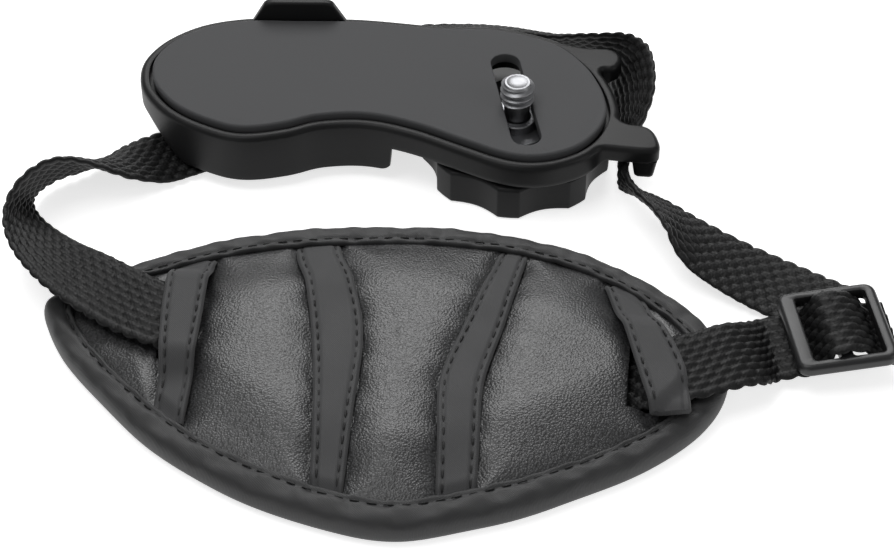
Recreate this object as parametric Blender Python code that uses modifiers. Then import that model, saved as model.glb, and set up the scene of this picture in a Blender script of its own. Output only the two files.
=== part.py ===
"""Camera wrist strap: a slotted base plate with a sliding camera screw, a hand pad and one webbing.

Lengths are in millimetres and are turned into metres where a mesh is made. +Z is up and the strap
lies as it does on a table. Until the last step the frame's origin is midway between the plate's two
lobes: X runs along the plate and the pad, Y away from the pad. The last step moves the whole strap
so that its origin is at the bottom centre of its bounding box.
"""
import math

import bmesh
import bpy
from mathutils import Matrix, Vector
from mathutils.geometry import interpolate_bezier, intersect_point_line

MM = 0.001

# Gap between two pieces that touch on the real strap
CLEARANCE = 0.3

# Camera screw, a 1/4-20 thread on a neck that passes the slot
THREAD_DIAMETER = 6.35
THREAD_PITCH = 1.27
THREAD_DEPTH = 0.75
THREAD_CRESTS = 3
SCREW_TIP_DIAMETER = 5.2
SCREW_TIP_LENGTH = 0.5
NECK_DIAMETER = 4.8
HEAD_ACROSS_FLATS = 11.1
HEAD_HEIGHT = 3.6

# Clamp knob under the plate
KNOB_RADIUS = 17.6
KNOB_HEIGHT = 7.0
KNOB_LOBES = 8
KNOB_LOBE_DEPTH = 1.5
KNOB_ROUND = 1.2

# Flanged bush that slides with the screw
FLANGE_RADIUS = 7.0
FLANGE_THICKNESS = 1.5
BUSH_WALL = 1.2
BUSH_HEIGHT = 1.7

# Base plate, with its rim, deck and skirt
DECK_THICKNESS = 1.9
RIM_WALL = 1.8
RIM_LIP = 1.4
RIM_DROP = 1.5
RIM_ROUND = 1.0
PLATE_EDGE = (
    (-38.2, -11.2), (-28.8, -15.9), (-22.9, -16.6), (-15.4, -14.4), (-9.9, -11.6), (-1.8, -10.4),
    (6.9, -12.3), (15.5, -15.9), (23.9, -19.2), (29.4, -19.7), (34.8, -18.2), (39.9, -14.5),
    (43.3, -9.0), (44.6, -3.0), (44.0, 1.9), (42.4, 6.8), (39.6, 12.2), (34.6, 17.9),
    (29.3, 20.9), (20.3, 23.1), (8.6, 22.6), (-3.2, 23.2), (-9.1, 23.2), (-19.0, 22.3),
    (-28.6, 21.4), (-36.9, 18.4), (-42.8, 13.2), (-45.9, 7.2), (-46.3, 1.9), (-44.3, -4.3),
)
FRONT_PRONG = ((42.2, -12.4), (51.2, -12.4), (52.4, -11.2), (51.9, -8.4), (50.6, -5.6),
               (49.2, -4.7), (45.2, -4.7))
BACK_PRONG = ((40.6, 11.6), (42.4, 11.8), (43.8, 12.8), (44.3, 15.2), (43.7, 17.4), (41.9, 18.4),
              (36.0, 18.3))
PRONG_REACH_X = 33.0
WALL_STEP = 0.15
HOOK_LEFT = 47.7
HOOK_RIGHT = 51.3
HOOK_DEPTH = 4.2
HOOK_DROP = 3.4
HOOK_TAPER = 0.8

# Stop that stands on the back of the rim
STOP_MIDDLE_X = -18.9
STOP_BASE_LENGTH = 19.0
STOP_TOP_LENGTH = 11.5
STOP_HEIGHT = 4.6
STOP_TURN = math.radians(5.2)

# Deep skirt round the front of the left lobe, and the webbing bar inside it
SKIRT_REACH_X = 3.0
SKIRT_LEFT_X = -41.6
SKIRT_BACK_Y = -2.6
BAR_MIDDLE = (-13.3, 2.75)
BAR_TURN = math.radians(-49.0)
BAR_WIDTH = 3.0
BAR_THICKNESS = 1.2
BAR_LENGTH = 32.0
BAR_POST = 2.4

# Screw slot
SLOT_MIDDLE = (25.2, -0.75)
SLOT_TURN = math.radians(-75.6)
SLOT_HALF_TRAVEL = 11.3
SCREW_FORWARD = 1.5
SLOT_MARGIN = 0.3

# Rubber grip that lies in the rim
GRIP_THICKNESS = 2.1
GRIP_GROOVE = 0.6
GRIP_ROUND = 0.5

# Hand pad
PAD_EDGE = (
    (-51.7, -54.3), (-50.6, -59.0), (-44.7, -67.8), (-33.5, -79.5), (-22.6, -88.2), (-10.9, -94.3),
    (2.6, -98.8), (15.3, -99.9), (27.4, -96.0), (39.6, -90.0), (53.5, -80.6), (62.2, -71.4),
    (65.7, -60.6), (63.4, -51.3), (55.8, -42.4), (45.0, -35.0), (32.0, -30.2), (17.0, -28.3),
    (3.2, -29.0), (-12.6, -31.7), (-25.4, -36.3), (-37.5, -43.0), (-47.6, -50.0),
)
PAD_MIDDLE = (6.0, -64.0)
BINDING_WIDTH = 5.2
BINDING_WALL = 1.2
BINDING_LIP = 0.8
LINING_THICKNESS = 0.7
FOAM_EDGE_THICKNESS = 0.9
FACE_THICKNESS = 1.1
DOME_RISE = 1.9
DOME_REACH = 14.0
SLIT_WIDTH = 5.6
SLIT_MARGIN = 0.9
LEFT_SLIT = (-27.2, -59.4)
RIGHT_SLIT = (51.4, -63.0)
BAND_THICKNESS = 0.9

# Each band is its centre line, from back to front, with its width at each point
LOOP_BAND_LEFT = ((-27.7, -38.0, 7.4), (-27.5, -46.0, 7.3), (-27.1, -52.0, 7.2), (-26.5, -59.0, 7.0),
                  (-25.8, -66.0, 6.4), (-25.2, -72.0, 5.8), (-25.1, -80.0, 5.9), (-25.2, -88.0, 6.0))
RIB_BAND_LEFT = ((-8.2, -28.0, 8.0), (-6.2, -39.0, 8.0), (-3.5, -46.0, 8.3), (0.0, -60.0, 8.7),
                 (1.8, -78.0, 6.6), (3.4, -101.0, 4.8))
RIB_BAND_RIGHT = ((28.6, -27.0, 5.0), (27.2, -39.0, 5.4), (24.6, -54.0, 6.6), (21.9, -69.0, 7.4),
                  (22.6, -82.0, 6.8), (23.7, -100.0, 6.2))
LOOP_BAND_RIGHT = ((46.4, -38.0, 6.4), (48.6, -46.0, 6.4), (50.4, -52.5, 6.4), (52.2, -59.0, 6.4),
                   (53.7, -65.0, 6.3), (55.2, -71.0, 6.1), (56.8, -78.0, 5.9))
LOOP_MARGIN = 1.8
LOOP_RISE = 3.0

# Webbing and its slider
WEBBING_WIDTH = 14.8
WEBBING_THICKNESS = 1.5
SLIDER_PLACE = (83.6, -49.6, 6.0)
SLIDER_TURN = math.radians(12.0)
SLIDER_PITCH = math.radians(-5.0)
SLIDER_LENGTH = 17.0
SLIDER_WIDTH = 18.8
SLIDER_THICKNESS = 2.2
SLIDER_SIDE_BAR = 1.8
SLIDER_LEFT_BAR = 2.9
SLIDER_RIGHT_BAR = 2.0
SLIDER_CENTRE_BAR = 2.2
SLIDER_CORNER = 1.5
SLIDER_ROUND = 0.5

# Webbing route, from its sewn end to the slider: the middle of the webbing, the direction across
# it, and the share of its width that shows where it is gathered
ROUTE_TO_SLIDER = (
    ((84.0, -40.0, 1.15), (-0.55, -0.83, 0.0), 1.0),
    ((73.4, -34.4, 1.35), (-0.50, -0.86, 0.03), 1.0),
    ((66.4, -31.0, 2.3), (-0.41, -0.91, 0.09), 1.0),
    ((60.7, -28.2, 3.6), (-0.26, -0.96, 0.12), 1.0),
    ((57.6, -26.0, 4.8), (-0.23, -0.94, 0.25), 1.0),
    ((55.2, -23.2, 5.8), (-0.12, -0.91, 0.41), 1.0),
    ((52.2, -19.7, 6.0), (-0.07, -0.85, 0.52), 0.82),
    ((48.8, -16.4, 5.6), (-0.05, -0.75, 0.65), 0.60),
    ((46.3, -12.6, 4.9), (0.05, -0.40, 0.90), 0.50),
    ((46.0, -8.5, 4.8), (0.10, -0.10, 0.98), 0.49),
    ((46.2, -4.4, 4.9), (0.20, -0.05, 0.97), 0.49),
    ((47.0, -0.6, 5.9), (0.40, 0.0, 0.90), 0.70),
    ((47.7, 4.0, 7.4), (0.50, 0.0, 0.86), 0.95),
    ((48.0, 9.5, 8.2), (0.48, 0.08, 0.86), 1.0),
    ((47.4, 15.5, 8.5), (0.42, 0.10, 0.88), 1.0),
    ((44.6, 21.2, 8.3), (0.25, -0.15, 0.94), 1.0),
    ((38.8, 25.8, 7.4), (0.0, -0.50, 0.87), 1.0),
    ((31.0, 28.8, 6.5), (0.0, -0.65, 0.76), 1.0),
    ((22.0, 30.8, 6.1), (0.0, -0.70, 0.70), 1.0),
    ((12.0, 30.8, 5.4), (0.15, -0.80, 0.58), 1.0),
    ((5.0, 28.0, 4.5), (0.48, -0.84, 0.24), 1.0),
    ((-1.4, 21.8, 4.2), (0.75, -0.66, 0.0), 1.0),
    ((-8.4, 13.6, 4.5), (0.75, -0.66, 0.0), 1.0),
    ((-16.0, 6.2, 4.8), (0.66, -0.75, 0.0), 1.0),
    ((-24.0, 0.4, 3.2), (0.57, -0.82, 0.0), 1.0),
    ((-31.5, -4.2, 1.5), (0.53, -0.85, 0.0), 1.0),
    ((-37.5, -7.9, 1.2), (0.52, -0.85, 0.0), 1.0),
    ((-42.2, -11.4, 1.45), (0.52, -0.85, 0.02), 1.0),
    ((-46.6, -15.0, 3.3), (0.34, -0.84, 0.26), 1.0),
    ((-50.4, -18.0, 5.4), (0.16, -0.74, 0.55), 1.0),
    ((-54.2, -20.4, 6.7), (0.10, -0.64, 0.73), 1.0),
    ((-57.6, -22.7, 7.2), (0.10, -0.60, 0.77), 1.0),
    ((-60.1, -25.8, 7.2), (0.06, -0.63, 0.76), 1.0),
    ((-61.4, -29.2, 7.1), (0.0, -0.71, 0.69), 1.0),
    ((-61.5, -33.0, 7.0), (-0.06, -0.79, 0.59), 1.0),
    ((-60.2, -37.0, 6.9), (-0.12, -0.85, 0.49), 1.0),
    ((-57.0, -41.6, 6.8), (-0.17, -0.90, 0.37), 1.0),
    ((-51.6, -46.6, 7.0), (-0.20, -0.94, 0.24), 1.0),
    ((-45.0, -51.2, 7.2), (-0.20, -0.97, 0.09), 1.0),
    ((-37.6, -55.6, 7.1), (-0.14, -0.99, 0.0), 1.0),
    ((-31.8, -58.4, 7.2), (-0.08, -1.0, 0.0), 1.0),
    ((-29.2, -59.1, 6.8), (-0.05, -1.0, 0.0), 1.0),
    ((-27.6, -59.3, 5.4), (-0.05, -1.0, 0.0), 1.0),
    ((-26.2, -59.4, 3.9), (-0.05, -1.0, 0.0), 1.0),
    ((-24.4, -59.5, 3.05), (-0.05, -1.0, 0.0), 1.0),
    ((-18.0, -59.8, 2.9), (-0.05, -1.0, 0.0), 1.0),
    ((12.0, -61.4, 2.9), (-0.05, -1.0, 0.0), 1.0),
    ((45.5, -63.1, 2.85), (-0.03, -1.0, 0.0), 1.0),
    ((49.0, -63.1, 2.95), (0.0, -1.0, 0.0), 1.0),
    ((51.8, -63.0, 4.5), (0.0, -1.0, 0.0), 1.0),
    ((54.0, -62.9, 6.2), (0.05, -1.0, 0.0), 1.0),
    ((56.6, -62.6, 6.7), (0.10, -0.99, 0.0), 1.0),
    ((60.3, -61.4, 6.7), (0.18, -0.98, 0.0), 1.0),
    ((63.8, -59.6, 6.7), (0.25, -0.97, 0.0), 1.0),
    ((66.9, -57.8, 6.4), (0.27, -0.96, 0.0), 1.0),
    ((69.6, -56.0, 5.3), (0.26, -0.97, 0.0), 1.0),
)
# The route through the slider, along it and above its middle
ROUTE_IN_SLIDER = (
    (-11.6, -2.6), (-8.4, -2.3), (-5.0, -2.2), (-3.45, 0.0), (-1.9, 1.85), (0.0, 2.25),
    (1.9, 1.85), (3.6, 0.0), (5.4, -2.1), (7.4, -2.5), (9.6, -2.6),
)
ROUTE_STEPS = 2

# Heights, each worked out from the piece below it
WASHER_BOTTOM = KNOB_HEIGHT + CLEARANCE
WASHER_TOP = WASHER_BOTTOM + FLANGE_THICKNESS
DECK_BOTTOM = WASHER_TOP + CLEARANCE
DECK_TOP = DECK_BOTTOM + DECK_THICKNESS
RIM_BOTTOM = DECK_BOTTOM - RIM_DROP
RIM_TOP = DECK_TOP + RIM_LIP
SKIRT_BOTTOM = WEBBING_THICKNESS + 3 * CLEARANCE
GRIP_BOTTOM = DECK_TOP + CLEARANCE
GRIP_TOP = GRIP_BOTTOM + GRIP_THICKNESS
THREAD_BOTTOM = GRIP_TOP + 2 * CLEARANCE
THREAD_TOP = THREAD_BOTTOM + THREAD_CRESTS * THREAD_PITCH
LINING_BOTTOM = BINDING_LIP + CLEARANCE
LINING_TOP = LINING_BOTTOM + LINING_THICKNESS
FOAM_BOTTOM = LINING_TOP + CLEARANCE
FACE_EDGE_BOTTOM = FOAM_BOTTOM + FOAM_EDGE_THICKNESS + CLEARANCE
FACE_EDGE_TOP = FACE_EDGE_BOTTOM + FACE_THICKNESS
BINDING_TOP = FACE_EDGE_TOP + CLEARANCE + BINDING_LIP

SLOT_WIDTH = NECK_DIAMETER + 2 * SLOT_MARGIN
BUSH_DIAMETER = NECK_DIAMETER + 2 * CLEARANCE + 2 * BUSH_WALL
SLOT_ALONG = Vector((math.cos(SLOT_TURN), math.sin(SLOT_TURN), 0.0))
SCREW_PLACE = Vector((*SLOT_MIDDLE, 0.0)) + SLOT_ALONG * SCREW_FORWARD

COLOURS = {
    "base_plate": ((0.012, 0.012, 0.013), 0.45, 0.0),
    "grip_pad": ((0.045, 0.047, 0.050), 0.80, 0.0),
    "camera_screw": ((0.42, 0.42, 0.43), 0.30, 1.0),
    "clamp_knob": ((0.012, 0.012, 0.013), 0.50, 0.0),
    "slide_washer": ((0.30, 0.30, 0.31), 0.35, 1.0),
    "webbing": ((0.010, 0.010, 0.011), 0.85, 0.0),
    "slider_buckle": ((0.020, 0.020, 0.021), 0.40, 0.0),
    "pad_face": ((0.028, 0.028, 0.030), 0.60, 0.0),
    "pad_foam": ((0.10, 0.10, 0.10), 0.95, 0.0),
    "pad_lining": ((0.030, 0.030, 0.032), 0.90, 0.0),
    "edge_binding": ((0.016, 0.016, 0.017), 0.70, 0.0),
    "loop_band_left": ((0.030, 0.030, 0.031), 0.80, 0.0),
    "rib_band_left": ((0.030, 0.030, 0.031), 0.80, 0.0),
    "rib_band_right": ((0.030, 0.030, 0.031), 0.80, 0.0),
    "loop_band_right": ((0.030, 0.030, 0.031), 0.80, 0.0),
}


def clear_scene():
    """Remove every object that the file starts with."""
    for thing in list(bpy.data.objects):
        bpy.data.objects.remove(thing)


def add_collection(name):
    """A new collection in the scene."""
    collection = bpy.data.collections.new(name)
    bpy.context.scene.collection.children.link(collection)
    return collection


clear_scene()
PARTS = add_collection("camera_wrist_strap")
CUTTERS = add_collection("cutters")
ORIGIN = bpy.data.objects.new("strap_origin", None)
PARTS.objects.link(ORIGIN)


def place_mesh(name, mesh):
    """An object for a mesh, among the parts and under the common origin."""
    thing = bpy.data.objects.new(name, mesh)
    PARTS.objects.link(thing)
    thing.parent = ORIGIN
    return thing


def finish(thing):
    """Give a piece its material and its smooth shading."""
    colour, roughness, metallic = COLOURS[thing.name]
    material = bpy.data.materials.new(thing.name)
    material.use_nodes = True
    shader = material.node_tree.nodes["Principled BSDF"]
    shader.inputs["Base Color"].default_value = (*colour, 1.0)
    shader.inputs["Roughness"].default_value = roughness
    shader.inputs["Metallic"].default_value = metallic
    thing.data.materials.append(material)
    thing.data.shade_smooth()
    thing.data.set_sharp_from_angle(angle=math.radians(35.0))
    return thing


def combine(target, tool, operation):
    """Cut a tool from a target, join it to it, or keep what they share."""
    if tool.name not in CUTTERS.objects:
        PARTS.objects.unlink(tool)
        CUTTERS.objects.link(tool)
    tool.hide_render = True
    tool.display_type = "WIRE"
    modifier = target.modifiers.new(tool.name, "BOOLEAN")
    modifier.operation = operation
    modifier.solver = "EXACT"
    modifier.object = tool


def smooth_path(points, steps, closed):
    """Points along a smooth curve through the given ones, closed or open."""
    knots = [Vector(point) for point in points]
    count = len(knots)
    tangents = []
    for i in range(count):
        before = knots[i - 1] if closed or i > 0 else knots[0]
        after = knots[(i + 1) % count] if closed or i < count - 1 else knots[-1]
        tangents.append((after - before).normalized())
    path = []
    for i in range(count if closed else count - 1):
        j = (i + 1) % count
        reach = (knots[j] - knots[i]).length / 3
        first = knots[i] + tangents[i] * reach
        second = knots[j] - tangents[j] * reach
        path += interpolate_bezier(knots[i], first, second, knots[j], steps + 1)[:-1]
    if not closed:
        path.append(knots[-1])
    return path


def smooth_outline(points, steps):
    """A closed flat outline that runs smoothly through a few points."""
    return smooth_path([(x, y, 0.0) for x, y in points], steps, True)


def inset(outline, distance):
    """A closed outline moved inward; the outline runs anticlockwise."""
    moved = []
    for i, point in enumerate(outline):
        along = (outline[(i + 1) % len(outline)] - outline[i - 1]).normalized()
        moved.append(point + Vector((-along.y, along.x, 0.0)) * distance)
    return moved


def rectangle(left, right, front, back):
    """The four corners of an upright rectangle, anticlockwise."""
    return [Vector((left, front, 0.0)), Vector((right, front, 0.0)),
            Vector((right, back, 0.0)), Vector((left, back, 0.0))]


def stadium(middle, turn, half_travel, width, steps=8):
    """A slot outline with round ends."""
    along = Vector((math.cos(turn), math.sin(turn), 0.0))
    outline = []
    for end, start_angle in ((half_travel, turn - math.pi / 2), (-half_travel, turn + math.pi / 2)):
        centre = Vector((*middle, 0.0)) + along * end
        for i in range(steps + 1):
            angle = start_angle + math.pi * i / steps
            outline.append(centre + Vector((math.cos(angle), math.sin(angle), 0.0)) * width / 2)
    return outline


def prism(name, outline, bottom, top, top_round=0.0, bottom_round=0.0):
    """A solid of one flat outline between two heights, with rounded edges where they are wanted."""
    curve = bpy.data.curves.new(name, "CURVE")
    curve.dimensions = "2D"
    curve.fill_mode = "BOTH"
    curve.extrude = (top - bottom) / 2 * MM
    spline = curve.splines.new("POLY")
    spline.points.add(len(outline) - 1)
    for point, place in zip(spline.points, outline):
        point.co = (place[0] * MM, place[1] * MM, 0.0, 1.0)
    spline.use_cyclic_u = True
    source = bpy.data.objects.new(name, curve)
    PARTS.objects.link(source)
    seen = source.evaluated_get(bpy.context.evaluated_depsgraph_get())
    mesh = bpy.data.meshes.new_from_object(seen)
    bpy.data.objects.remove(source)
    shape = bmesh.new()
    shape.from_mesh(mesh)
    bmesh.ops.remove_doubles(shape, verts=shape.verts, dist=0.00001)
    bmesh.ops.dissolve_limit(shape, angle_limit=0.001, verts=shape.verts, edges=shape.edges)
    bmesh.ops.translate(shape, verts=shape.verts, vec=(0.0, 0.0, (top + bottom) / 2 * MM))
    round_level(shape, top, top_round)
    round_level(shape, bottom, bottom_round)
    bmesh.ops.recalc_face_normals(shape, faces=shape.faces)
    shape.to_mesh(mesh)
    shape.free()
    return place_mesh(name, mesh)


def round_level(shape, height, radius):
    """Round the edges of a shape that lie at one height."""
    if not radius:
        return
    level = [edge for edge in shape.edges
             if all(abs(vertex.co.z - height * MM) < 0.00001 for vertex in edge.verts)]
    bmesh.ops.bevel(shape, geom=level, offset=radius * MM, segments=3, profile=0.5,
                    affect="EDGES", clamp_overlap=True)


def turned(name, profile, steps, ring=False):
    """A piece turned about Z from a profile that runs down its outer side; a ring has a bore."""
    mesh = bpy.data.meshes.new(name)
    points = [(radius * MM, 0.0, height * MM) for radius, height in profile]
    edges = [(i, i + 1) for i in range(len(points) - 1)]
    if ring:
        edges.append((len(points) - 1, 0))
    mesh.from_pydata(points, edges, [])
    thing = place_mesh(name, mesh)
    screw = thing.modifiers.new("turn", "SCREW")
    screw.steps = steps
    screw.render_steps = steps
    screw.use_merge_vertices = True
    screw.merge_threshold = 0.00001
    screw.use_smooth_shade = False
    return thing


def loft(name, rows, rings=False, wrap=False, floor=False, crown=None):
    """A surface through rows of points, which may be rings, wrap round, or have a floor or crown."""
    shape = bmesh.new()
    lines = [[shape.verts.new(Vector(point) * MM) for point in row] for row in rows]
    pairs = list(zip(lines, lines[1:]))
    if wrap:
        pairs.append((lines[-1], lines[0]))
    count = len(lines[0])
    spans = count if rings else count - 1
    for lower, upper in pairs:
        for i in range(spans):
            j = (i + 1) % count
            shape.faces.new((lower[i], lower[j], upper[j], upper[i]))
    if floor:
        shape.faces.new(lines[0][::-1])
    if crown:
        top = shape.verts.new(Vector(crown) * MM)
        for i in range(count):
            shape.faces.new((lines[-1][i], lines[-1][(i + 1) % count], top))
    bmesh.ops.recalc_face_normals(shape, faces=shape.faces)
    mesh = bpy.data.meshes.new(name)
    shape.to_mesh(mesh)
    shape.free()
    return place_mesh(name, mesh)


def thicken(thing, thickness):
    """Give an open surface its thickness, half to each side."""
    modifier = thing.modifiers.new("thickness", "SOLIDIFY")
    modifier.thickness = thickness * MM
    modifier.offset = 0.0


def box(name, middle, turn, size):
    """A box turned about Z."""
    shape = bmesh.new()
    bmesh.ops.create_cube(shape, size=1.0)
    bmesh.ops.scale(shape, verts=shape.verts, vec=[side * MM for side in size])
    bmesh.ops.rotate(shape, verts=shape.verts, matrix=Matrix.Rotation(turn, 3, "Z"))
    bmesh.ops.translate(shape, verts=shape.verts, vec=Vector(middle) * MM)
    mesh = bpy.data.meshes.new(name)
    shape.to_mesh(mesh)
    shape.free()
    return place_mesh(name, mesh)


PLATE_OUTLINE = smooth_outline(PLATE_EDGE, 3)
PAD_OUTLINE = smooth_outline(PAD_EDGE, 2)


def add_stop(plate):
    """The stop on the back of the rim: a low wall with slanted ends."""
    foot = RIM_TOP - RIM_LIP / 2
    half_base = STOP_BASE_LENGTH / 2
    half_top = STOP_TOP_LENGTH / 2
    height = RIM_TOP + STOP_HEIGHT - foot
    side = [Vector((-half_base, 0.0, 0.0)), Vector((half_base, 0.0, 0.0)),
            Vector((half_top + 1.2, height - 0.9, 0.0)), Vector((half_top, height, 0.0)),
            Vector((-half_top, height, 0.0)), Vector((-half_top - 1.2, height - 0.9, 0.0))]
    stop = prism("stop", side, 0.0, RIM_WALL, 0.3, 0.5)
    back_y = plate_back_at(STOP_MIDDLE_X) - WALL_STEP
    stand_up(stop, (STOP_MIDDLE_X, back_y, foot), STOP_TURN)
    combine(plate, stop, "UNION")


def plate_back_at(x):
    """The back edge of the plate at one X."""
    behind = [point for point in PLATE_OUTLINE if point.y > 10.0]
    return min(behind, key=lambda point: abs(point.x - x)).y


def add_walls(plate):
    """The rim's lower wall, which deepens to the skirt round the front of the left lobe."""
    wall_top = DECK_BOTTOM + CLEARANCE
    walls = prism("walls", inset(PLATE_OUTLINE, WALL_STEP), SKIRT_BOTTOM, wall_top, 0.0, 0.4)
    hollow = prism("walls_hollow", inset(PLATE_OUTLINE, RIM_WALL), SKIRT_BOTTOM - 1.0, RIM_TOP)
    combine(walls, hollow, "DIFFERENCE")
    far = 80.0
    open_sides = (
        ("open_right", rectangle(SKIRT_REACH_X, far, -far, far)),
        ("open_back", rectangle(-far, far, SKIRT_BACK_Y, far)),
        ("open_left", rectangle(-far, SKIRT_LEFT_X, -far, far)),
    )
    for name, region in open_sides:
        combine(walls, prism(name, region, SKIRT_BOTTOM - 1.0, RIM_BOTTOM), "DIFFERENCE")
    combine(plate, walls, "UNION")
    right = SKIRT_REACH_X - WALL_STEP
    front = min(PLATE_OUTLINE, key=lambda point: abs(point.x - right) + point.y).y + RIM_WALL / 2
    middle = (right - RIM_WALL / 2, (SKIRT_BACK_Y + front) / 2, (SKIRT_BOTTOM + wall_top) / 2)
    size = (RIM_WALL, SKIRT_BACK_Y - front, wall_top - SKIRT_BOTTOM - 2 * WALL_STEP)
    combine(plate, box("skirt_end", middle, 0.0, size), "UNION")


def stand_up(thing, middle, turn):
    """Stand a flat solid on its edge, turn it about Z and put its foot in place."""
    stand = Matrix.Rotation(math.pi / 2, 4, "X")
    move = Matrix.Translation(Vector(middle) * MM)
    thing.data.transform(move @ Matrix.Rotation(turn, 4, "Z") @ stand)


def add_bar(plate):
    """The bar under the left lobe that the webbing runs over, with its post to the deck."""
    end = BAR_LENGTH / 2
    height = DECK_BOTTOM + CLEARANCE - SKIRT_BOTTOM
    side = [Vector((-end, 0.0, 0.0)), Vector((end, 0.0, 0.0)), Vector((end, BAR_THICKNESS, 0.0)),
            Vector((BAR_POST - end, BAR_THICKNESS, 0.0)), Vector((BAR_POST - end, height, 0.0)),
            Vector((-end, height, 0.0))]
    bar = prism("bar", side, -BAR_WIDTH / 2, BAR_WIDTH / 2)
    stand_up(bar, (*BAR_MIDDLE, SKIRT_BOTTOM + WALL_STEP), BAR_TURN)
    combine(plate, bar, "UNION")


def add_hook(plate):
    """The hook under the tip of the front prong that keeps the webbing in."""
    front = FRONT_PRONG[0][1]
    top = DECK_BOTTOM + CLEARANCE
    bottom = DECK_BOTTOM - HOOK_DROP
    wide = rectangle(HOOK_LEFT, HOOK_RIGHT, front + 0.2, front + HOOK_DEPTH)
    narrow = rectangle(HOOK_LEFT + HOOK_TAPER, HOOK_RIGHT - HOOK_TAPER, front + 0.2,
                       front + HOOK_DEPTH - HOOK_TAPER)
    rows = [[(point.x, point.y, bottom) for point in narrow],
            [(point.x, point.y, top) for point in wide],
            [(point.x, point.y, top + 1.0) for point in wide]]
    hook = loft("hook", rows, rings=True, floor=True,
                crown=((HOOK_LEFT + HOOK_RIGHT) / 2, front + HOOK_DEPTH / 2, top + 1.0))
    combine(plate, hook, "UNION")


def with_prong(outline, prong):
    """The plate's outline with the stretch beside a prong replaced by the prong's own edge."""
    low = min(y for x, y in prong)
    high = max(y for x, y in prong)
    replaced = [point for point in outline if point.x > PRONG_REACH_X and low < point.y < high]
    start = outline.index(replaced[0])
    edge = [Vector((x, y, 0.0)) for x, y in prong]
    return outline[:start] + edge + outline[start + len(replaced):]


def build_base_plate():
    """The moulded plate: rim, deck, prongs, hook, stop, skirt, bar and slot."""
    outline = with_prong(with_prong(PLATE_OUTLINE, BACK_PRONG), FRONT_PRONG)
    plate = prism("base_plate", outline, DECK_BOTTOM, RIM_TOP, RIM_ROUND, 0.0)
    pocket = prism("plate_pocket", inset(PLATE_OUTLINE, RIM_WALL), DECK_TOP, RIM_TOP + 1.0)
    combine(plate, pocket, "DIFFERENCE")
    add_walls(plate)
    add_stop(plate)
    add_bar(plate)
    add_hook(plate)
    slot = stadium(SLOT_MIDDLE, SLOT_TURN, SLOT_HALF_TRAVEL, BUSH_DIAMETER + 2 * CLEARANCE)
    combine(plate, prism("plate_slot", slot, DECK_BOTTOM - 1.0, RIM_TOP + 1.0), "DIFFERENCE")
    return finish(plate)


def build_grip_pad():
    """The rubber sheet that lies in the rim, with the slot for the screw's neck."""
    outline = inset(PLATE_OUTLINE, RIM_WALL + GRIP_GROOVE)
    grip = prism("grip_pad", outline, GRIP_BOTTOM, GRIP_TOP, GRIP_ROUND)
    slot = stadium(SLOT_MIDDLE, SLOT_TURN, SLOT_HALF_TRAVEL, SLOT_WIDTH)
    combine(grip, prism("grip_slot", slot, GRIP_BOTTOM - 1.0, GRIP_TOP + 1.0), "DIFFERENCE")
    return finish(grip)


def head_outline(extra):
    """The hexagon of the screw's head, wider by a clearance all round."""
    radius = (HEAD_ACROSS_FLATS / 2 + extra) / math.cos(math.pi / 6)
    return [Vector((math.cos(i * math.pi / 3), math.sin(i * math.pi / 3), 0.0)) * radius
            for i in range(6)]


def thread_profile():
    """The crests and roots of the thread as turned rings, from the tip down."""
    profile = []
    outer = THREAD_DIAMETER / 2
    for i in range(THREAD_CRESTS):
        crest = THREAD_TOP - (i + 0.5) * THREAD_PITCH
        profile += [(outer - THREAD_DEPTH, crest + THREAD_PITCH * 0.42),
                    (outer, crest + THREAD_PITCH * 0.08), (outer, crest - THREAD_PITCH * 0.08)]
    return profile


def build_camera_screw():
    """The captive screw: tip, thread, neck and a hexagon head that the knob holds."""
    tip_radius = SCREW_TIP_DIAMETER / 2
    tip_top = THREAD_TOP + SCREW_TIP_LENGTH
    neck_radius = NECK_DIAMETER / 2
    head_top = KNOB_HEIGHT - CLEARANCE / 2
    profile = [(0.0, tip_top), (tip_radius - 0.2, tip_top), (tip_radius, tip_top - 0.2)]
    profile += thread_profile()
    profile += [(neck_radius, THREAD_BOTTOM - CLEARANCE / 2), (neck_radius, head_top - 1.0),
                (0.0, head_top - 1.0)]
    screw = turned("camera_screw", profile, 32)
    head = prism("screw_head", head_outline(0.0), head_top - HEAD_HEIGHT, head_top, 0.0, 0.3)
    head.location = SCREW_PLACE * MM
    screw.location = SCREW_PLACE * MM
    combine(screw, head, "UNION")
    return finish(screw)


def knob_outline():
    """The knob's lobed edge, with one lobe toward -Y."""
    points = []
    steps = KNOB_LOBES * 8
    for i in range(steps):
        angle = 2 * math.pi * i / steps
        dip = 0.5 - 0.5 * math.cos(KNOB_LOBES * (angle + math.pi / 2))
        radius = KNOB_RADIUS - KNOB_LOBE_DEPTH * dip ** 2
        points.append(Vector((math.cos(angle), math.sin(angle), 0.0)) * radius)
    return points


def build_clamp_knob():
    """The flat lobed knob, with the pocket that holds the screw's head."""
    knob = prism("clamp_knob", knob_outline(), 0.0, KNOB_HEIGHT, KNOB_ROUND * 0.5, KNOB_ROUND)
    pocket_floor = KNOB_HEIGHT - CLEARANCE / 2 - HEAD_HEIGHT - CLEARANCE
    pocket = prism("knob_pocket", head_outline(CLEARANCE), pocket_floor, KNOB_HEIGHT + 1.0)
    combine(knob, pocket, "DIFFERENCE")
    pocket.location = SCREW_PLACE * MM
    knob.location = SCREW_PLACE * MM
    return finish(knob)


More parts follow.
